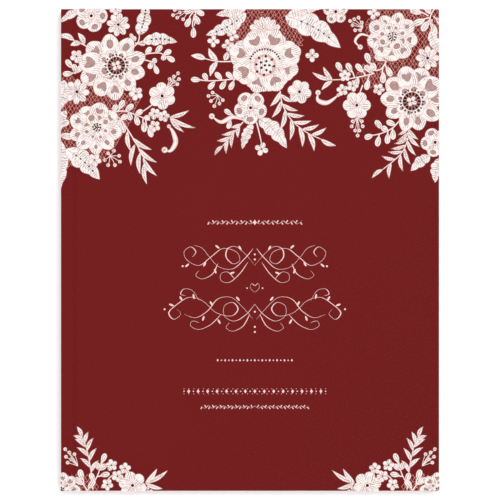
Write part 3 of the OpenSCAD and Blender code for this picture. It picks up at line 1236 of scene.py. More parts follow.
def topLeftCorner():
    netGround([(0, 36), (30, 50), (50, 48), (44, 62), (36, 78), (24, 92), (8, 92), (-2, 100),
               (-6, 80), (-6, 36)])
    # first full flower, with its leaves and the blooms round it
    stem([(42.5, 23), (46, 19), (46.5, 14)])
    stem([(42.5, 23), (46, 20), (50, 18.5)])
    broadLeaf((46.3, 15.5), (50.5, -4), 9.5, 3, 6, 0.05)
    broadLeaf((48.5, 19), (69, 19.5), 8.5, 4, 5, -0.08)
    buds(1.9, ((44, 19), (41, 14.5)), ((44, 20), (50, 21)), ((44, 19), (43.5, 16)))
    broadLeaf((13, 0), (-1, 8), 5.5, 3, 0, 0.05)
    smallBloom(18, 4, 9.6, 5, 72, patch=1.0, round=1.25)
    smallBloom(34, 9.2, 6.8, 8, 10)
    smallBloom(32.5, 0, 3.8, 5, 20)
    stem([(17, 23), (9, 19), (0, 16.5)])
    lanceLeaves(3.4, ((14, 21), (10, 14)), ((12, 20), (5.5, 21.5)), ((8, 18.5), (-1, 15)))
    bloom = fullBloom(30.5, 34.5, 19.6, 11, ((1.0, 10, 0.95), (0.54, 8, 0.8)), (0.12, -0.05),
                      turn=12, heavy=165)
    openEye(*bloom, 5.2)
    smallBloom(9.3, 28, 4.0, 5, 15)
    for tip in ((3, 30), (7.5, 32.5), (1, 38.5), (13, 33)):
        bud((9, 38), tip, 2.8)
    smallBloom(9.5, 49, 7.3, 8, 4)
    # sprig to the right of the flower
    budSprig([(43, 32), (50, 27), (58, 26), (62, 27.5)],
             [(53.5, 22.5), (60, 21.5), (65.5, 24.5), (67.5, 31), (61, 30.5)], 2.7)
    budSprig([(47, 29.5), (53, 31), (56, 33)], [(52.5, 35.5), (57.5, 38.5), (57, 30)], 2.6)
    # second full flower and the net's edge
    bloom = fullBloom(20, 71, 15.6, 23, ((1.0, 9, 0.75), (0.56, 8, 0.9)), (0.08, -0.06),
                      turn=5, heavy=-90)
    dottedEye(*bloom, 2.6, 3)
    smallBloom(44.5, 50, 4.3, 5, 30)
    smallBloom(60, 51.5, 8.0, 6, 25, heart=True, round=1.12)
    stem([(55, 56), (51, 59), (48, 61)])
    berries((62, 47), (64.5, 41.5), (67, 40), (69.5, 38), (70, 41.5), (69, 44.5), (67, 43), (65, 46))
    budSprig([(31, 61), (38, 60.5), (45, 63), (53, 66)],
             [(33, 56.5), (37.5, 54), (43, 56.5), (48.5, 60), (41.5, 66), (46, 69), (49.5, 73), (54, 76),
              (53, 64.5)], 2.8)
    budSprig([(31, 61), (34, 64), (36, 66)], [(33, 69.5), (37.5, 73.5), (39.5, 63)], 2.8)
    smallBlooms(3.6, 5, 7, (55.5, 62), (61, 63.5), (55.5, 69.5))
    for tip in ((76, 60), (73, 73), (80, 70.5)):
        lanceLeaf((64.5, 64), tip, 2.6, 0.07)
    scroll([(64, 69.5), (66.5, 73), (68, 79), (65, 84), (61.5, 83.5)], 3.0, 1.5)
    # hanging frond, broad leaf and the cropped leaves at the spine
    stem([(36, 66), (43, 77), (49, 88), (51, 96)])
    lanceLeaves(2.8, ((39.5, 72), (41.5, 84.5)), ((42, 76), (54, 83.5)), ((44, 80), (41.5, 93)),
                ((45.5, 82), (57, 91)), ((47, 85), (47, 98)), ((48.5, 88), (57, 99)),
                ((49.5, 91), (51, 104)))
    broadLeaf((3, 83), (23, 101), 13, 4, 5, -0.06)
    smallBloom(20, 89.5, 4.1, 5, 12)
    berries((29, 87), (28, 85.5), (31.5, 84), (34.5, 87), (35, 90.5), (32, 92.5), (28, 92.5), (26, 89.5))
    broadLeaf((0, 78), (-3, 111), 8, 4, 0, -0.06)
    broadLeaf((3, 60), (-4, 80), 8, 3, 0, 0.1)
    bud((-4, 70), (5, 66.5), 3.4)
    bud((-4, 74), (7, 76), 3.4)
    broadLeaf((2, 42), (-4, 62), 9, 3, 0, -0.1)


def topCentre():
    netGround([(103, -2), (140, -2), (145, 12), (144, 22), (136, 27), (106, 27), (100, 22),
               (100, 10)], 5)
    broadLeaf((110, 2.5), (86, 15.5), 10, 5, 5, -0.06)
    broadLeaf((111, -3), (92, 3.5), 8, 4, 0, -0.05)
    broadLeaf((133, 4), (166, 23), 15.5, 4, 6, -0.07)
    broadLeaf((134, 4), (157, -1.5), 7, 4, 0, -0.05)
    for tip in ((112, 10), (115, 6.5), (119, 4.5), (123, 4.5), (127, 6.5), (130, 10)):
        bud((121, 14), tip, 3.2)
    eyeU, eyeV, lift = fullBloom(121, 31, 21.8, 31, ((1.0, 8, 0.95), (0.46, 9, 0)), (0, 0.06),
                                 flat=0.92, turn=22, scallop=1.0, bumps=7)
    dottedEye(eyeU, eyeV + 1, lift, 6.6, 8, 0.72)
    for k in range(15):
        a = math.radians(-160 + 10 * k)
        x, y = 9.2 * math.cos(a), 8.6 * math.sin(a)
        dot("eyelet", eyeU + x, eyeV + y, 0.5, lift + 0.004, 8, 1.3, a)
    smallBlooms(3.7, 4, 9, (90.5, 19), (99, 21.5), (102, 15.5), level="back")
    smallBloom(149, 27.5, 4.0, 4, 0)
    smallBloom(163, 1.5, 7.4, 5, 50, patch=0.8, round=1.15)
    stem([(101, 31), (93, 31), (84, 29)])
    for root, tip, bend in (((86, 29.5), (77, 27.5), 0.05), ((93, 30.5), (87.5, 23), -0.1),
                            ((93, 31), (88.5, 40), 0.1), ((97, 30.5), (99, 25), 0.05)):
        lanceLeaf(root, tip, 3.6, bend)
    budSprig([(105, 41), (97, 42), (88, 42.5), (82, 42)],
             [(98, 37.5), (91.5, 37.5), (84.5, 38), (77, 41.5), (94.5, 47.5), (87.5, 47.5),
              (100, 48)], 2.7)
    berries((93, 51), (89, 54.5), (91, 57.5), (94, 56), (87.5, 51.5), (90, 49.5), (96, 54))
    smallBloom(112.5, 58.5, 9.8, 5, 20, patch=1.0, round=1.25)
    scroll([(109, 66), (102, 64), (95, 67), (89.5, 63.5)], 2.6, 1.4)
    bud((101, 65), (99, 71), 2.5)
    bud((104, 65), (97, 59.5), 2.5)
    # leaves and fronds under the ring flower
    frond([(108, 67), (102, 74), (96, 81)], 3, 9.5, 2.3, 32)
    broadLeaf((113.5, 68), (107.5, 83), 6.5, 5, 0, 0.05)
    broadLeaf((117.5, 65), (134, 82.5), 10.5, 4, 0, -0.08)
    smallBloom(119, 83, 4.1, 4, 20)
    stem([(116, 67), (118, 75), (119, 80)])
    smallBloom(141.5, 49, 7.0, 6, 12, round=1.12)
    frond([(130, 48.5), (131.6, 57), (137, 66), (145.5, 73), (154, 77)], 6, 12.6, 2.9, 42, 0.04,
          even=0.8, inner=-1)
    # small spray between the first two groups
    stem([(79, -1), (80, 4), (79, 10)])
    buds(2.8, ((79, 1), (74, 10.5)), ((79, 4), (78.5, 17)), ((79, 0), (85, 3.5)), ((79, 3), (82, 9)),
         ((79, 0), (73, 2)))
    berries((76, 0), (66.5, 3.5), (69, 5), (72.5, 6), (67.5, 0.5), (70.5, 2))


def topRight():
    netGround([(190, -2), (232, -2), (232, 60), (222, 46), (206, 36), (184, 48), (174, 40), (182, 28),
               (180, 8)], 9)
    bloom = fullBloom(196.5, 16.5, 16.6, 42, ((1.0, 9, 0.75), (0.58, 8, 0.95)),
                      flat=0.86, turn=8, heavy=90)
    dottedEye(*bloom, 2.8, 5)
    buds(3.4, ((218, 4), (207, 0)), ((219, 5), (209, 9)), ((219, 6), (214, 13)), ((220, 6), (222, 16)),
         ((219, 3), (216, -3)), ((221, 4), (228, 10)))
    stem([(223, -2), (219, 5), (221, 16), (224, 24)])
    broadLeaf((219, 13), (227, 27), 7.5, 3, 0)
    smallBloom(217.5, 29, 7.0, 8, 0)
    bloom = fullBloom(208.5, 53.5, 19.4, 57, ((1.0, 10, 0.95), (0.54, 8, 0.8)), (-0.02, 0.06),
                      heavy=-60)
    openEye(*bloom, 5.4)
    smallBloom(185.5, 2.5, 3.9, 4, 10)
    berries((179, 11), (174, 6), (176.5, 5), (178.5, 8), (173, 9.5), (174.5, 12.5), (177.5, 12.5),
            (171.5, 7))
    scroll([(184, 16.5), (178, 15), (174.5, 19), (177.5, 22.5)], 1.8, 1.3)
    budSprig([(193, 31), (189, 36), (181, 36), (178, 36)],
             [(181, 26), (186, 27.5), (184, 32), (196, 40), (191, 44)], 3.0)
    # long branch of buds, leaves and small blooms
    budSprig([(186, 38), (178, 40), (169, 41.5), (160, 42)],
             [(180, 33.5), (175, 32.5), (169.5, 32), (163.5, 31.5), (181, 48), (174, 46.5)], 2.9)
    for root, tip, bend in (((160, 42), (149, 37.5), -0.06), ((161, 42), (155.5, 34), -0.06),
                            ((161, 42.5), (154.5, 48), 0.06)):
        lanceLeaf(root, tip, 2.7, bend)
    smallBlooms(3.6, 5, 5, (168.5, 39.5), (173, 45.5), (167, 48), (188.5, 47.5))
    scroll([(164.5, 51), (158, 55.5), (152.5, 54), (152.5, 49.5)], 2.8, 1.3)
    smallBloom(175.5, 57, 8.2, 6, 0, heart=True, round=1.12)
    stem([(179, 45), (177.5, 49), (176.5, 51)])
    berries((175.5, 64), (173, 66.5), (178.5, 66.5), (172.5, 69.5), (179, 69.5), (174.5, 72), (177, 72),
            (176, 75))
    budSprig([(201, 66), (196, 71), (189, 74), (183, 75)],
             [(193, 66.5), (186.5, 66), (197, 77.5), (193.5, 80), (187.5, 81.5), (180, 76.5),
              (190, 70)], 2.9)
    # hanging frond, ring flower and leaves at the fore-edge
    frond([(206, 70), (205.8, 77), (201.5, 86), (191, 95)], 6, 10.6, 2.5, 42, 0.03, even=0.8, inner=1)
    smallBloom(222, 79, 8.6, 5, 30, patch=1.0, round=1.25)
    broadLeaf((219, 87), (207.5, 96), 7.5, 3, 0, 0.06)
    broadLeaf((226, 88), (222, 103), 8, 4, 0, 0.1)


def bottomSpray():
    netGround([(0, 276), (14, 274), (22, 280), (24, 290), (-6, 290)], 3)
    frond([(19, 285), (17.5, 272), (15, 260), (12.5, 254)], 4, 9.0, 2.5, 40, 0.30)
    berries((10, 271), (2.5, 261), (5, 263), (3, 265.5), (6, 267), (8, 264), (4, 269))
    budSprig([(18, 283), (22, 276), (24, 268)],
             [(21, 269), (26.5, 263.5), (27, 270), (17.5, 275), (29, 275.5)], 2.7)
    budSprig([(16, 286), (12, 280)], [(11, 273), (8, 278), (20, 279)], 3.0)
    bloom = fullBloom(0, 285.5, 11.5, 71, ((1.0, 9, 0.85), (0.58, 7, 0.7)))
    dottedEye(*bloom, 2.2, 4)
    stem([(24, 284), (30, 277), (38, 273)])
    smallBlooms(3.6, 5, 11, (30, 270.5), (38, 272.5), (33.5, 277), (27.5, 282))
    smallBloom(42.5, 282.5, 8.2, 6, 15, heart=True, round=1.12)
    for tip in ((57, 272.5), (63.5, 273.5), (60.5, 284.5)):
        lanceLeaf((50, 281), tip, 2.7, 0.07)
    berries((49, 285), (51.5, 284), (53.5, 286), (50.5, 287.5))


# ---- Pen ornaments in place of wording: curls, small leaves and beads, the same left and right ----

ornaments = {
    "middle": 115.0,
    "thin": 0.21,
    "thick": 0.68,
    "lift": 0.05,                    # height of the lines over the paper, and of leaves and dots
    "shapeLift": 0.06,
}


def penStroke(points, scale=1.0):
    path = smoothPath(points, 9)
    for side in (1, -1):
        line = [(ornaments["middle"] + side * x, y) for x, y in path]
        last = len(line) - 1

        def width(t):
            k = int(t * last)
            (ax, ay), (bx, by) = line[max(k - 1, 0)], line[min(k + 1, last)]
            size = math.hypot(bx - ax, by - ay) or 1
            press = max(0.0, (by - ay) / size) ** 1.6
            taper = min(1.0, 8 * t + 0.25, 8 * (1 - t) + 0.25)
            return scale * (ornaments["thin"] + (ornaments["thick"] - ornaments["thin"]) * press) * taper

        inkLine("pen", line, width, ornaments["lift"], 0.004)


def penLeaf(x, y, angle, long, wide):
    for side in (1, -1):
        a = math.radians(angle) if side > 0 else math.pi - math.radians(angle)
        ring = petalRing(long, wide, points=14, full=0.9)
        ring = placeRing(ring, ornaments["middle"] + side * x, y, a)
        inkShape("pen", ring, ornaments["shapeLift"], 0.15)


def penDot(x, y, r):
    for side in (1, -1) if x else (1,):
        dot("pen", ornaments["middle"] + side * x, y, r, ornaments["shapeLift"], 12)


def penDiamond(x, y, size):
    for side in (1, -1) if x else (1,):
        u = ornaments["middle"] + side * x
        ring = [(u + size * 0.7, y), (u, y + size), (u - size * 0.7, y), (u, y - size)]
        inkShape("pen", ring, ornaments["shapeLift"], 0.12)


# Vine: a wavy line with a leaf in every bend
def penVine(y, half, rise, pitch, leaf):
    count = int(half / pitch)
    wave = [(k * half / count, y + rise * (1 if k % 2 else -1)) for k in range(count + 1)]
    penStroke(wave, scale=0.75)
    for k in range(1, count + 1):
        up = -1 if k % 2 else 1
        penLeaf(k * half / count - pitch * 0.35, y + rise * -up * 0.3, 60 * up, leaf, leaf * 0.38)


# Beading: dots and diamonds by turns
def penBeads(y, half, pitch, small, large):
    count = int(half / pitch)
    for k in range(count + 1):
        x = k * half / count
        if k % 2:
            penDot(x, y, small)
        else:
            penDiamond(x, y, large)


def drawOrnaments():
    penVine(126.5, 28, 0.9, 2.8, 1.9)
    penDiamond(0, 126.5, 1.6)
    # upper curls
    penStroke([(0, 152), (5, 146), (11, 141), (16, 142), (17, 147), (13, 151), (9, 149), (11, 144),
               (19, 142), (26, 147), (33, 152), (40, 149), (42, 144), (38, 141), (35, 144), (37, 147)])
    penStroke([(1, 142), (6, 148), (13, 154), (21, 153), (27, 147), (31, 142), (36, 140)], scale=0.9)
    penStroke([(4, 150), (9, 157), (15, 162), (20, 161), (20, 157), (16, 156), (12, 160)], scale=0.85)
    penStroke([(22, 151), (25, 157), (31, 160), (35, 158), (33, 155)], scale=0.85)
    for x, y, a in ((8, 143, -60), (21, 142, -40), (29, 150, 60), (39, 151, 40), (24, 154, 110),
                    (12, 156, 20)):
        penLeaf(x, y, a, 3.0, 1.1)
    for x, y in ((0, 145.5), (0, 148.5), (42.8, 152.5)):
        penDot(x, y, 0.6)
    # small knot between the two rows of curls
    penStroke([(0, 168), (2.6, 165.5), (2.0, 162.8), (0, 164.2)], scale=0.7)
    penDot(4.6, 165.5, 0.45)
    # lower curls, longer
    penStroke([(0, 175), (5, 181), (12, 185), (18, 182), (18, 176), (13, 174), (10, 178), (14, 182),
               (23, 180), (31, 173), (39, 171), (46, 175), (51, 180), (48, 184), (44, 181), (46, 178)])
    penStroke([(1, 184), (7, 177), (14, 171), (22, 172), (28, 179), (35, 183), (42, 181)], scale=0.9)
    penStroke([(20, 181), (26, 187), (33, 190), (38, 188), (37, 185), (33, 186)], scale=0.85)
    penStroke([(3, 181), (7, 188), (13, 191), (17, 189), (15, 186)], scale=0.85)
    penStroke([(33, 173), (37, 167), (42, 166), (44, 169), (41, 170)], scale=0.8)
    for x, y, a in ((9, 173, -50), (25, 176, -60), (36, 172, -80), (30, 182, 70), (43, 173, -60),
                    (48, 176, -20), (22, 184, 120)):
        penLeaf(x, y, a, 3.1, 1.1)
    for x, y in ((0, 179.5), (0, 188.5), (0, 191.5), (53.5, 178)):
        penDot(x, y, 0.6)
    # beading and a second vine below
    penBeads(208.3, 22, 2.2, 0.42, 0.85)
    penBeads(226.7, 42, 2.8, 0.4, 1.25)
    for k in range(15):
        penDot(1.4 + 2.9 * k, 225.2, 0.22)
        penDot(1.4 + 2.9 * k, 228.2, 0.22)
    penVine(236.0, 32, 0.7, 2.2, 1.7)


# ---- Lace print, laid over the cover ----

edgeRound, jointRound = caseWork["edgeRound"], caseWork["jointRound"]
quarterTurn = edgeRound * math.pi / 2
spineLine = edgeRound - quarterTurn                  # where the spine's flat face begins
overBoard = quarterTurn + (boardThick - 2 * edgeRound) * lace["downEdge"] - edgeRound


# Cuts the flat print along a line, and drops what lies past it when trim is set
def cutPrint(bm, place, nx, ny, trim=False):
    axis = 0 if nx else 1
    near = [f for f in bm.faces if min(v.co[axis] for v in f.verts) < place - 1e-5
            and max(v.co[axis] for v in f.verts) > place + 1e-5]
    parts = set(near)
    for f in near:
        parts.update(f.edges)
        parts.update(f.verts)
    point = (place, 0, 0) if axis == 0 else (0, place, 0)
    normal = (abs(nx), abs(ny), 0)
    bmesh.ops.bisect_plane(bm, geom=list(parts), plane_co=point, plane_no=normal, dist=1e-6)
    if trim:
        sign = nx or ny
        gone = [f for f in bm.faces if (f.calc_center_median()[axis] - place) * sign < 0]
        bmesh.ops.delete(bm, geom=gone, context="FACES")


# Cuts the print wherever the cover bends, and drops what would hang over the joint's ends or a corner
def cutForBends(bm):
    lines = bendLines() + [spineLine + quarterTurn * k / 4 for k in range(1, 4)]
    lines += [coverWide - edgeRound + quarterTurn * k / 4 for k in range(5)]
    for place in lines:
        cutPrint(bm, place, 1, 0)
    rows = [edgeRound, edgeRound - jointRound, 0.12, 0.0]
    rows += [edgeRound - quarterTurn * k / 4 for k in range(1, 5)]
    joint = jointRound * math.pi / 2 + jointRound - edgeRound
    for place in rows:
        cutPrint(bm, -place, 0, 1)
        cutPrint(bm, place - coverHigh, 0, 1)
    cutPrint(bm, joint, 0, 1)
    cutPrint(bm, -coverHigh - joint, 0, 1)
    corner = caseWork["cornerRound"]
    gone = []
    for f in bm.faces:
        u, v = f.calc_center_median().x, -f.calc_center_median().y
        past = max(-v, v - coverHigh)
        if u < jointEnd and past > joint or u > coverWide - corner and past > -corner:
            gone.append(f)
    bmesh.ops.delete(bm, geom=gone, context="FACES")


def layPrint(layer, material, onSpine):
    verts, uvs, faces = inkLayers[layer]
    mesh = bpy.data.meshes.new("print")
    mesh.from_pydata([(u, -v, lift) for u, v, lift in verts], [], faces)
    flat = mesh.uv_layers.new(name="flat")
    for loop in mesh.loops:
        flat.data[loop.index].uv = uvs[loop.vertex_index]
    bm = bmesh.new()
    bm.from_mesh(mesh)
    bmesh.ops.triangulate(bm, faces=[f for f in bm.faces if len(f.verts) > 4])
    wide, high = coverWide + overBoard, coverHigh + overBoard
    limits = [(spineLine, 1, 0), (wide, -1, 0), (overBoard, 0, -1), (-high, 0, 1)]
    if onSpine:
        gap = lace["endGap"]
        limits = [(spineLine, -1, 0), (-lace["overSpine"], 1, 0), (-gap, 0, -1), (gap - coverHigh, 0, 1)]
    for place, nx, ny in limits:
        cutPrint(bm, place, nx, ny, True)
    if not bm.faces:
        bm.free()
        return
    if not onSpine:
        cutForBends(bm)
    place = bm.loops.layers.uv.new("place")
    for f in bm.faces:
        f.smooth = True
        for loop in f.loops:
            loop[place].uv = (loop.vert.co.x / mapScale, -loop.vert.co.y / mapScale)
    for vert in bm.verts:
        u, v, lift = vert.co.x, -vert.co.y, vert.co.z
        if onSpine:
            point = Vector((left - lift, headEdge - v, bookTop - edgeRound - (spineLine - u)))
        else:
            point = onFrontCover(max(u, spineLine), v, lift)
        vert.co = point * toMetres
    bmesh.ops.delete(bm, geom=[v for v in bm.verts if not v.link_faces], context="VERTS")
    part = "spine" if onSpine else "front_cover"
    obj = bpy.data.objects.new(f"{part}_{layer}_print", bpy.data.meshes.new(f"{part}_{layer}_print"))
    bm.to_mesh(obj.data)
    bm.free()
    bpy.data.meshes.remove(mesh)
    bpy.context.scene.collection.objects.link(obj)
    finishPiece(obj, material)
    if onSpine:
        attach(obj, "text_block")
    else:
        blendCover(obj, "front")


# Draws a motif, and again at the other side of the cover
def addMirrored(draw):
    starts = {name: (len(item[0]), len(item[2])) for name, item in inkLayers.items()}
    draw()
    for name, (verts, uvs, faces) in inkLayers.items():
        v0, f0 = starts[name]
        shift = len(verts) - v0
        for (u, v, lift), uv in list(zip(verts, uvs))[v0:]:
            verts.append((coverWide - u, v, lift))
            uvs.append(uv)
        for face in faces[f0:]:
            faces.append(tuple(reversed([k + shift for k in face])))


topLeftCorner()
topCentre()
topRight()
addMirrored(bottomSpray)
drawOrnaments()
for layer, material in (
    ("net", laceNet), ("white", laceWhite), ("tulle", laceTulle), ("thread", hatchInk),
    ("eyelet", eyeletInk), ("pen", penInk),
):
    layPrint(layer, material, False)
    layPrint(layer, material, True)
print("stage: lace print")


# ---- Endpapers ----

endpapers = {
    "thick": 0.25,
    "dipBlend": 1.2,                 # how gently a pastedown steps down from the turn-ins to the board
    "gauzeReach": 25.0,              # how far the gauze under it runs onto the board
    "gap": 0.003,
}


def rowsOver(high, count):
    return [-high / 2 + high * k / count for k in range(count + 1)]


# A pastedown on the turn-ins, easing down onto the board inside them
def pastedown(side):
    dip = endpapers["dipBlend"]
    cols = [pasteLo.x + 0.02 + d for d in (0, 0.6, 4, 12, endpapers["gauzeReach"] - 1)]
    start = cols[-1] + 1
    cols += [start + k * dip / 4 for k in range(5)]
    end = caseHi.x - caseWork["turnIn"]
    cols += [start + 2 + (end - start - 5) * k / 12 for k in range(13)]
    cols += [end - dip * (1 - k / 4) for k in range(5)]
    cols += [end + 3, pasteHi.x - 1.0, pasteHi.x]
    inner = headEdge - caseWork["turnIn"]
    edge = pasteHi.y
    half = [edge, edge - 0.6, edge - 6] + [inner - dip * k / 4 for k in range(5)]
    half += [inner * k / 6 for k in range(5, 0, -1)]
    rows = [-y for y in half] + [0.0] + list(reversed(half))
    verts, uvs = [], []
    for layer in (0, 1):
        below = boardThick + endpapers["thick"] * layer + endpapers["gap"]
        for x in cols:
            for y in rows:
                inside = smoothStep(min(x - start, end - x, inner - abs(y)) / dip)
                verts.append((x, y, bookTop - below + caseWork["paper"] * 0.9 * inside))
                uvs.append(((x - pasteLo.x) / mapScale, (edge - y) / mapScale))
    faces = sheetFaces(len(cols), len(rows))
    obj = newObject(f"{side}_pastedown_sheet", verts, faces, uvs)
    creaseByAngle(obj, 40)
    if side == "back":
        mirrorToBack(obj)
    finishPiece(obj, endPaper, [f"{side}_pastedown"])
    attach(obj, f"{side}_cover")


# The endpaper's strip from the board's edge to the fold, flat, with lines across it near the joint
hingeStrip = {
    "start": 4.05,                   # from the spine: a line across the strip
    "end": 5.05,                     # and another line across it here
    "bends": (0.40, 0.455, 0.50),    # share of the way between them of more lines across it
    "onCover": (6.2, 7.6),           # more lines across it, on the cover's side
    "share": 0.96,                   # its thickness, of the endpaper's
}


def endpaperStrip(side):
    z = bookTop - boardThick - endpapers["thick"] / 2
    span = hingeStrip["end"] - hingeStrip["start"]
    stops = [foldX - left + 0.03, hingeStrip["start"]]
    stops += [hingeStrip["start"] + span * b for b in hingeStrip["bends"]]
    stops += [hingeStrip["end"], *hingeStrip["onCover"], pasteLo.x - left + 0.05]
    columns = [(left + s, z, 0, 1) for s in stops]
    thick = endpapers["thick"] * hingeStrip["share"]
    obj = sheetAcross(f"{side}_endpaper_strip", columns, rowsOver(leafHigh, 8), thick,
                      lambda x, y: ((x - pasteLo.x) / mapScale, (headEdge - y) / mapScale))
    creaseByAngle(obj, 60)
    if side == "back":
        mirrorToBack(obj)
    finishPiece(obj, endPaper, [f"{side}_endpaper_joint"])
    if side == "front":
        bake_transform(obj)
    else:
        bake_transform(obj)


for side in ("front", "back"):
    pastedown(side)
    endpaperStrip(side)


# ---- Leaves ----

leafMake = {
    "bendLong": 17.0,                # length near the gutter given closer lines across the leaf
    "bendBefore": 0.4,
    "wobble": 0.07,                  # uneven trimming, in millimetres
    "foldNest": 0.24,                # each sheet inside a gathering starts this much further in
    "foldRound": 0.32,               # how far a fold bulges back, at most
    "sheetGap": 0.04,                # between the sheets of a gathering that stays flat
}


def onLeaf(x, y):
    return (x - foldX) / mapScale, (leafHi.y - y) / mapScale


# One leaf from its fold to the fore-edge, with closer lines across it near the gutter
def turningLeaf(node, material, startX, seed):
    lo, hi = boxMm(node)
    z = (lo.z + hi.z) / 2
    bendFrom = lo.x - leafMake["bendBefore"]
    bendTo = lo.x + leafMake["bendLong"]
    stops = [startX, (startX + bendFrom) / 2]
    stops += [bendFrom + (bendTo - bendFrom) * k / 14 for k in range(15)]
    stops += [bendTo + (hi.x - bendTo) * k / 10 for k in range(1, 11)]
    rnd = random.Random(seed)
    shift = rnd.uniform(-1, 1) * leafMake["wobble"]
    trims = [rnd.uniform(-1, 0) * leafMake["wobble"] for _ in range(2)]

    def wobble(ci, ri, nc, nr):
        dx = shift - leafMake["wobble"] if ci == nc - 1 else 0
        dy = trims[0] if ri == nr - 1 else -trims[1] if ri == 0 else 0
        return dx, dy

    columns = [(x, z, 0, 1) for x in stops]
    obj = sheetAcross(f"{node}_sheet", columns, rowsOver(leafHigh, 10), hi.z - lo.z, onLeaf, wobble)
    creaseByAngle(obj, 60)
    finishPiece(obj, material, [node])
    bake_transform(obj)


turning = sorted((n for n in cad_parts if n.startswith("leaf_")), key=lambda n: int(n[5:]))
leafCount = len(turning)
for number, node in enumerate(turning, 1):
    depth = min(number, leafCount + 1 - number) - 1   # how far inside the gathering its sheet lies
    startX = foldX + leafMake["foldRound"] + depth * leafMake["foldNest"]
    turningLeaf(node, leafPaper, startX, number)
for side in ("front", "back"):
    turningLeaf(f"{side}_flyleaf", endPaper, foldX + 0.1, 40)


# Sheets folded together: pairs of leaves joined by a round fold at the back
def foldedSheets(name, heights, thick, reach, seed):
    rnd = random.Random(seed)
    verts, uvs, faces = [], [], []
    rows = rowsOver(leafHigh, 6)
    for depth in range(len(heights) // 2):
        zLow, zHigh = heights[depth], heights[-1 - depth]
        radius = (zHigh - zLow) / 2
        bulge = min(radius, leafMake["foldRound"])
        backX = foldX + 0.02 + depth * leafMake["foldNest"]
        path = [(reach(depth), zLow, 0.0, -1.0), (backX + bulge, zLow, 0.0, -1.0)]
        for k in range(1, 8):
            a = -math.pi / 2 - math.pi * k / 8
            nx, nz = math.cos(a), math.sin(a)
            path.append((backX + bulge + bulge * nx, (zLow + zHigh) / 2 + radius * nz, nx, nz))
        path += [(backX + bulge, zHigh, 0.0, 1.0), (reach(depth), zHigh, 0.0, 1.0)]
        ends = [rnd.uniform(-1, 0) * leafMake["wobble"] for _ in range(4)]
        faces += sheetFaces(len(path), len(rows), len(verts))
        for layer in (0, 1):
            off = thick * (0.5 - layer)
            for ci, (x, z, nx, nz) in enumerate(path):
                trim = ends[0] if ci == 0 else ends[1] if ci == len(path) - 1 else 0
                for ri, y in enumerate(rows):
                    dy = ends[2] if ri == len(rows) - 1 else -ends[3] if ri == 0 else 0
                    verts.append((x + nx * off + trim, y + dy, z + nz * off))
                    uvs.append(onLeaf(x, y))
    obj = newObject(name, verts, faces, uvs)
    creaseByAngle(obj, 60)
    return obj


def finishFolds(folds, node):
    finishPiece(folds, leafPaper, [node])
    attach(folds, "text_block")


leafBoxes = [boxMm(n) for n in reversed(turning)]
leafThick = leafBoxes[0][1].z - leafBoxes[0][0].z
folds = foldedSheets("gathering_1_folds", [(lo.z + hi.z) / 2 for lo, hi in leafBoxes], leafThick,
                     lambda depth: foldX + 0.4 + depth * leafMake["foldNest"], 7)
finishFolds(folds, "gathering_1")
gatherings = sorted(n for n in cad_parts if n.startswith("gathering_") and n != "gathering_1")
for number, node in enumerate(gatherings, 2):
    lo, hi = boxMm(node)
    gap = leafMake["sheetGap"]
    each = (hi.z - lo.z - 7 * gap) / 8
    heightsOfLeaves = [lo.z + each / 2 + k * (each + gap) for k in range(8)]
    sheets = foldedSheets(f"{node}_sheets", heightsOfLeaves, each, lambda depth: foreEdge, number)
    finishFolds(sheets, node)
print("stage: leaves")


# ---- Headbands: silk wound over a core, with a bead along the leaves' ends ----

headband = {
    "turns": 26,
    "core": 0.62,                    # radius of the core
    "windRise": 0.07,                # how far the silk stands up from it
    "round": 14,
    "perTurn": 4,
}


def headbandBead(name, node, sign):
    lo, hi = boxMm(node)
    core = headband["core"]
    cx = hi.x - core - 0.06
    cy = (hi.y if sign > 0 else lo.y) - sign * (core + headband["windRise"])
    count = headband["turns"] * headband["perTurn"]
    verts, uvs, faces = [], [], []
    for k in range(count + 1):
        z = lo.z + (hi.z - lo.z) * k / count
        turn = k / headband["perTurn"]
        for j in range(headband["round"]):
            a = 2 * math.pi * j / headband["round"]
            lead = turn + j / headband["round"]
            rr = core + headband["windRise"] * abs(math.sin(math.pi * lead))
            if k in (0, count):
                rr = core * 0.8
            verts.append((cx + rr * math.cos(a), cy + rr * math.sin(a), z))
            uvs.append((lead, j / headband["round"]))
    n = headband["round"]
    for k in range(count):
        for j in range(n):
            a, b = k * n + j, k * n + (j + 1) % n
            faces.append((a, b, b + n, a + n))
    faces.append(tuple(reversed(range(n))))
    faces.append(tuple(range(count * n, count * n + n)))
    obj = newObject(name + "_bead", verts, faces, uvs)
    finishPiece(obj, silk, [node])
    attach(obj, "text_block")
    # the woven tab that glues it to the backs of the folds
    tabLo = Vector((lo.x + 0.02, lo.y if sign > 0 else cy - 0.2, lo.z + 0.05))
    tabHi = Vector((lo.x + 0.23, cy + 0.2 if sign > 0 else hi.y, hi.z - 0.05))
    tab = softSlab(name + "_tab", tabLo, tabHi, 0.09, 0.08)
    finishPiece(tab, bandCloth, [node])
    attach(tab, "text_block")


headbandBead("headband", "headband", 1)
headbandBead("tailband", "tailband", -1)
for node, material in (
    ("mull", gauze), ("front_mull_flap", gauze), ("back_mull_flap", gauze),
    ("spine_lining", kraft), ("sewing_thread", threadCloth),
):
    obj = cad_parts[node]
    obj.data.materials.clear()
    obj.data.materials.append(material)
print("stage: bindings")


# ---- Floor, light and camera ----

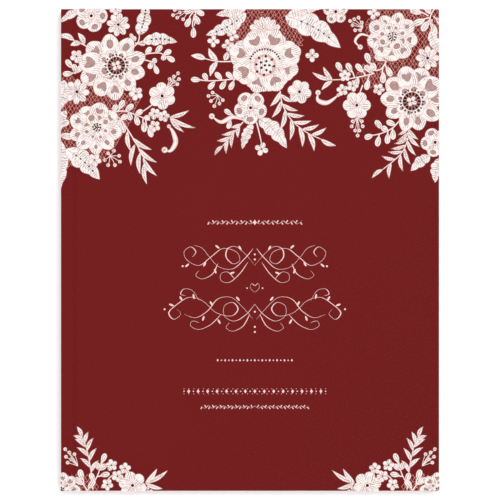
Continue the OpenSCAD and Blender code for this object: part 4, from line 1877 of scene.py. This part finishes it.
studio = {
    "floor": (0.90, 0.90, 0.905),
    "floorHalf": 6.0,
    "floorDrop": 0.00002,            # just under the back cover
    "floorGlow": 0.38,               # evens the pale floor out
    "fillLight": 0.466,              # four wide lights well off the vertical
    "fillTilt": 42.0,
    "fillSoft": 50.0,
    "sideLight": 0.28,               # light from the head's fore-edge corner
    "sideTilt": (10.0, 12.0),        # degrees off the vertical, toward the fore-edge and the head
    "sideSoft": 9.0,
    "horizon": 1.08,
    "zenith": 0.35,
    "cameraHigh": 3.0,
    "viewWide": 0.2966,              # metres of the cover's plane across the view
}


squareCorners = ((1, 1), (-1, 1), (-1, -1), (1, -1))


def placeFloor():
    mesh = bpy.data.meshes.new("floor")
    corners = [(x * studio["floorHalf"], y * studio["floorHalf"], 0) for x, y in squareCorners]
    mesh.from_pydata(corners, [], [(0, 1, 2, 3)])
    floor = bpy.data.objects.new("floor", mesh)
    bpy.context.scene.collection.objects.link(floor)
    mat, tree, bsdf = startMaterial("paleFloor")
    bsdf.inputs["Base Color"].default_value = (*studio["floor"], 1)
    bsdf.inputs["Roughness"].default_value = 0.9
    bsdf.inputs["Specular IOR Level"].default_value = 0.0
    bsdf.inputs["Emission Color"].default_value = (1, 1, 1, 1)
    bsdf.inputs["Emission Strength"].default_value = studio["floorGlow"]
    mesh.materials.append(mat)
    floor.location.z = -studio["floorDrop"]


def placeSun(name, level, tiltX, tiltY, softness):
    data = bpy.data.lights.new(name, "SUN")
    data.energy = level * math.pi
    data.angle = math.radians(softness)
    lamp = bpy.data.objects.new(name, data)
    bpy.context.scene.collection.objects.link(lamp)
    away = Vector((math.tan(math.radians(tiltX)), math.tan(math.radians(tiltY)), 1)).normalized()
    lamp.rotation_mode = "QUATERNION"
    lamp.rotation_quaternion = away.to_track_quat("Z", "Y")


def placeWorld():
    world = bpy.data.worlds.new("softRoom")
    bpy.context.scene.world = world
    world.use_nodes = True
    tree = world.node_tree
    around = addNode(tree, "ShaderNodeTexCoord").outputs["Generated"]
    up = addNode(tree, "ShaderNodeSeparateXYZ", Vector=around).outputs["Z"]
    level = ramp(tree, up, [(0.22, grey(studio["horizon"])), (0.62, grey(studio["zenith"]))])
    tree.links.new(level, tree.nodes["Background"].inputs["Color"])


def placeCamera():
    data = bpy.data.cameras.new("camera")
    high = studio["cameraHigh"]
    data.lens = data.sensor_width * high / studio["viewWide"]
    data.clip_start, data.clip_end = 0.05, 50.0
    camera = bpy.data.objects.new("camera", data)
    bpy.context.scene.collection.objects.link(camera)
    camera.location = (0, 0, high + bookTop * toMetres)
    bpy.context.scene.camera = camera


placeFloor()
for number, (x, y) in enumerate(squareCorners):
    tilt = (x * studio["fillTilt"], y * studio["fillTilt"])
    placeSun(f"fill_light_{number}", studio["fillLight"] / 4, *tilt, studio["fillSoft"])
placeSun("side_light", studio["sideLight"], *studio["sideTilt"], studio["sideSoft"])
placeWorld()
placeCamera()
bpy.context.scene.view_settings.view_transform = "Standard"
print("stage: floor, light and camera")
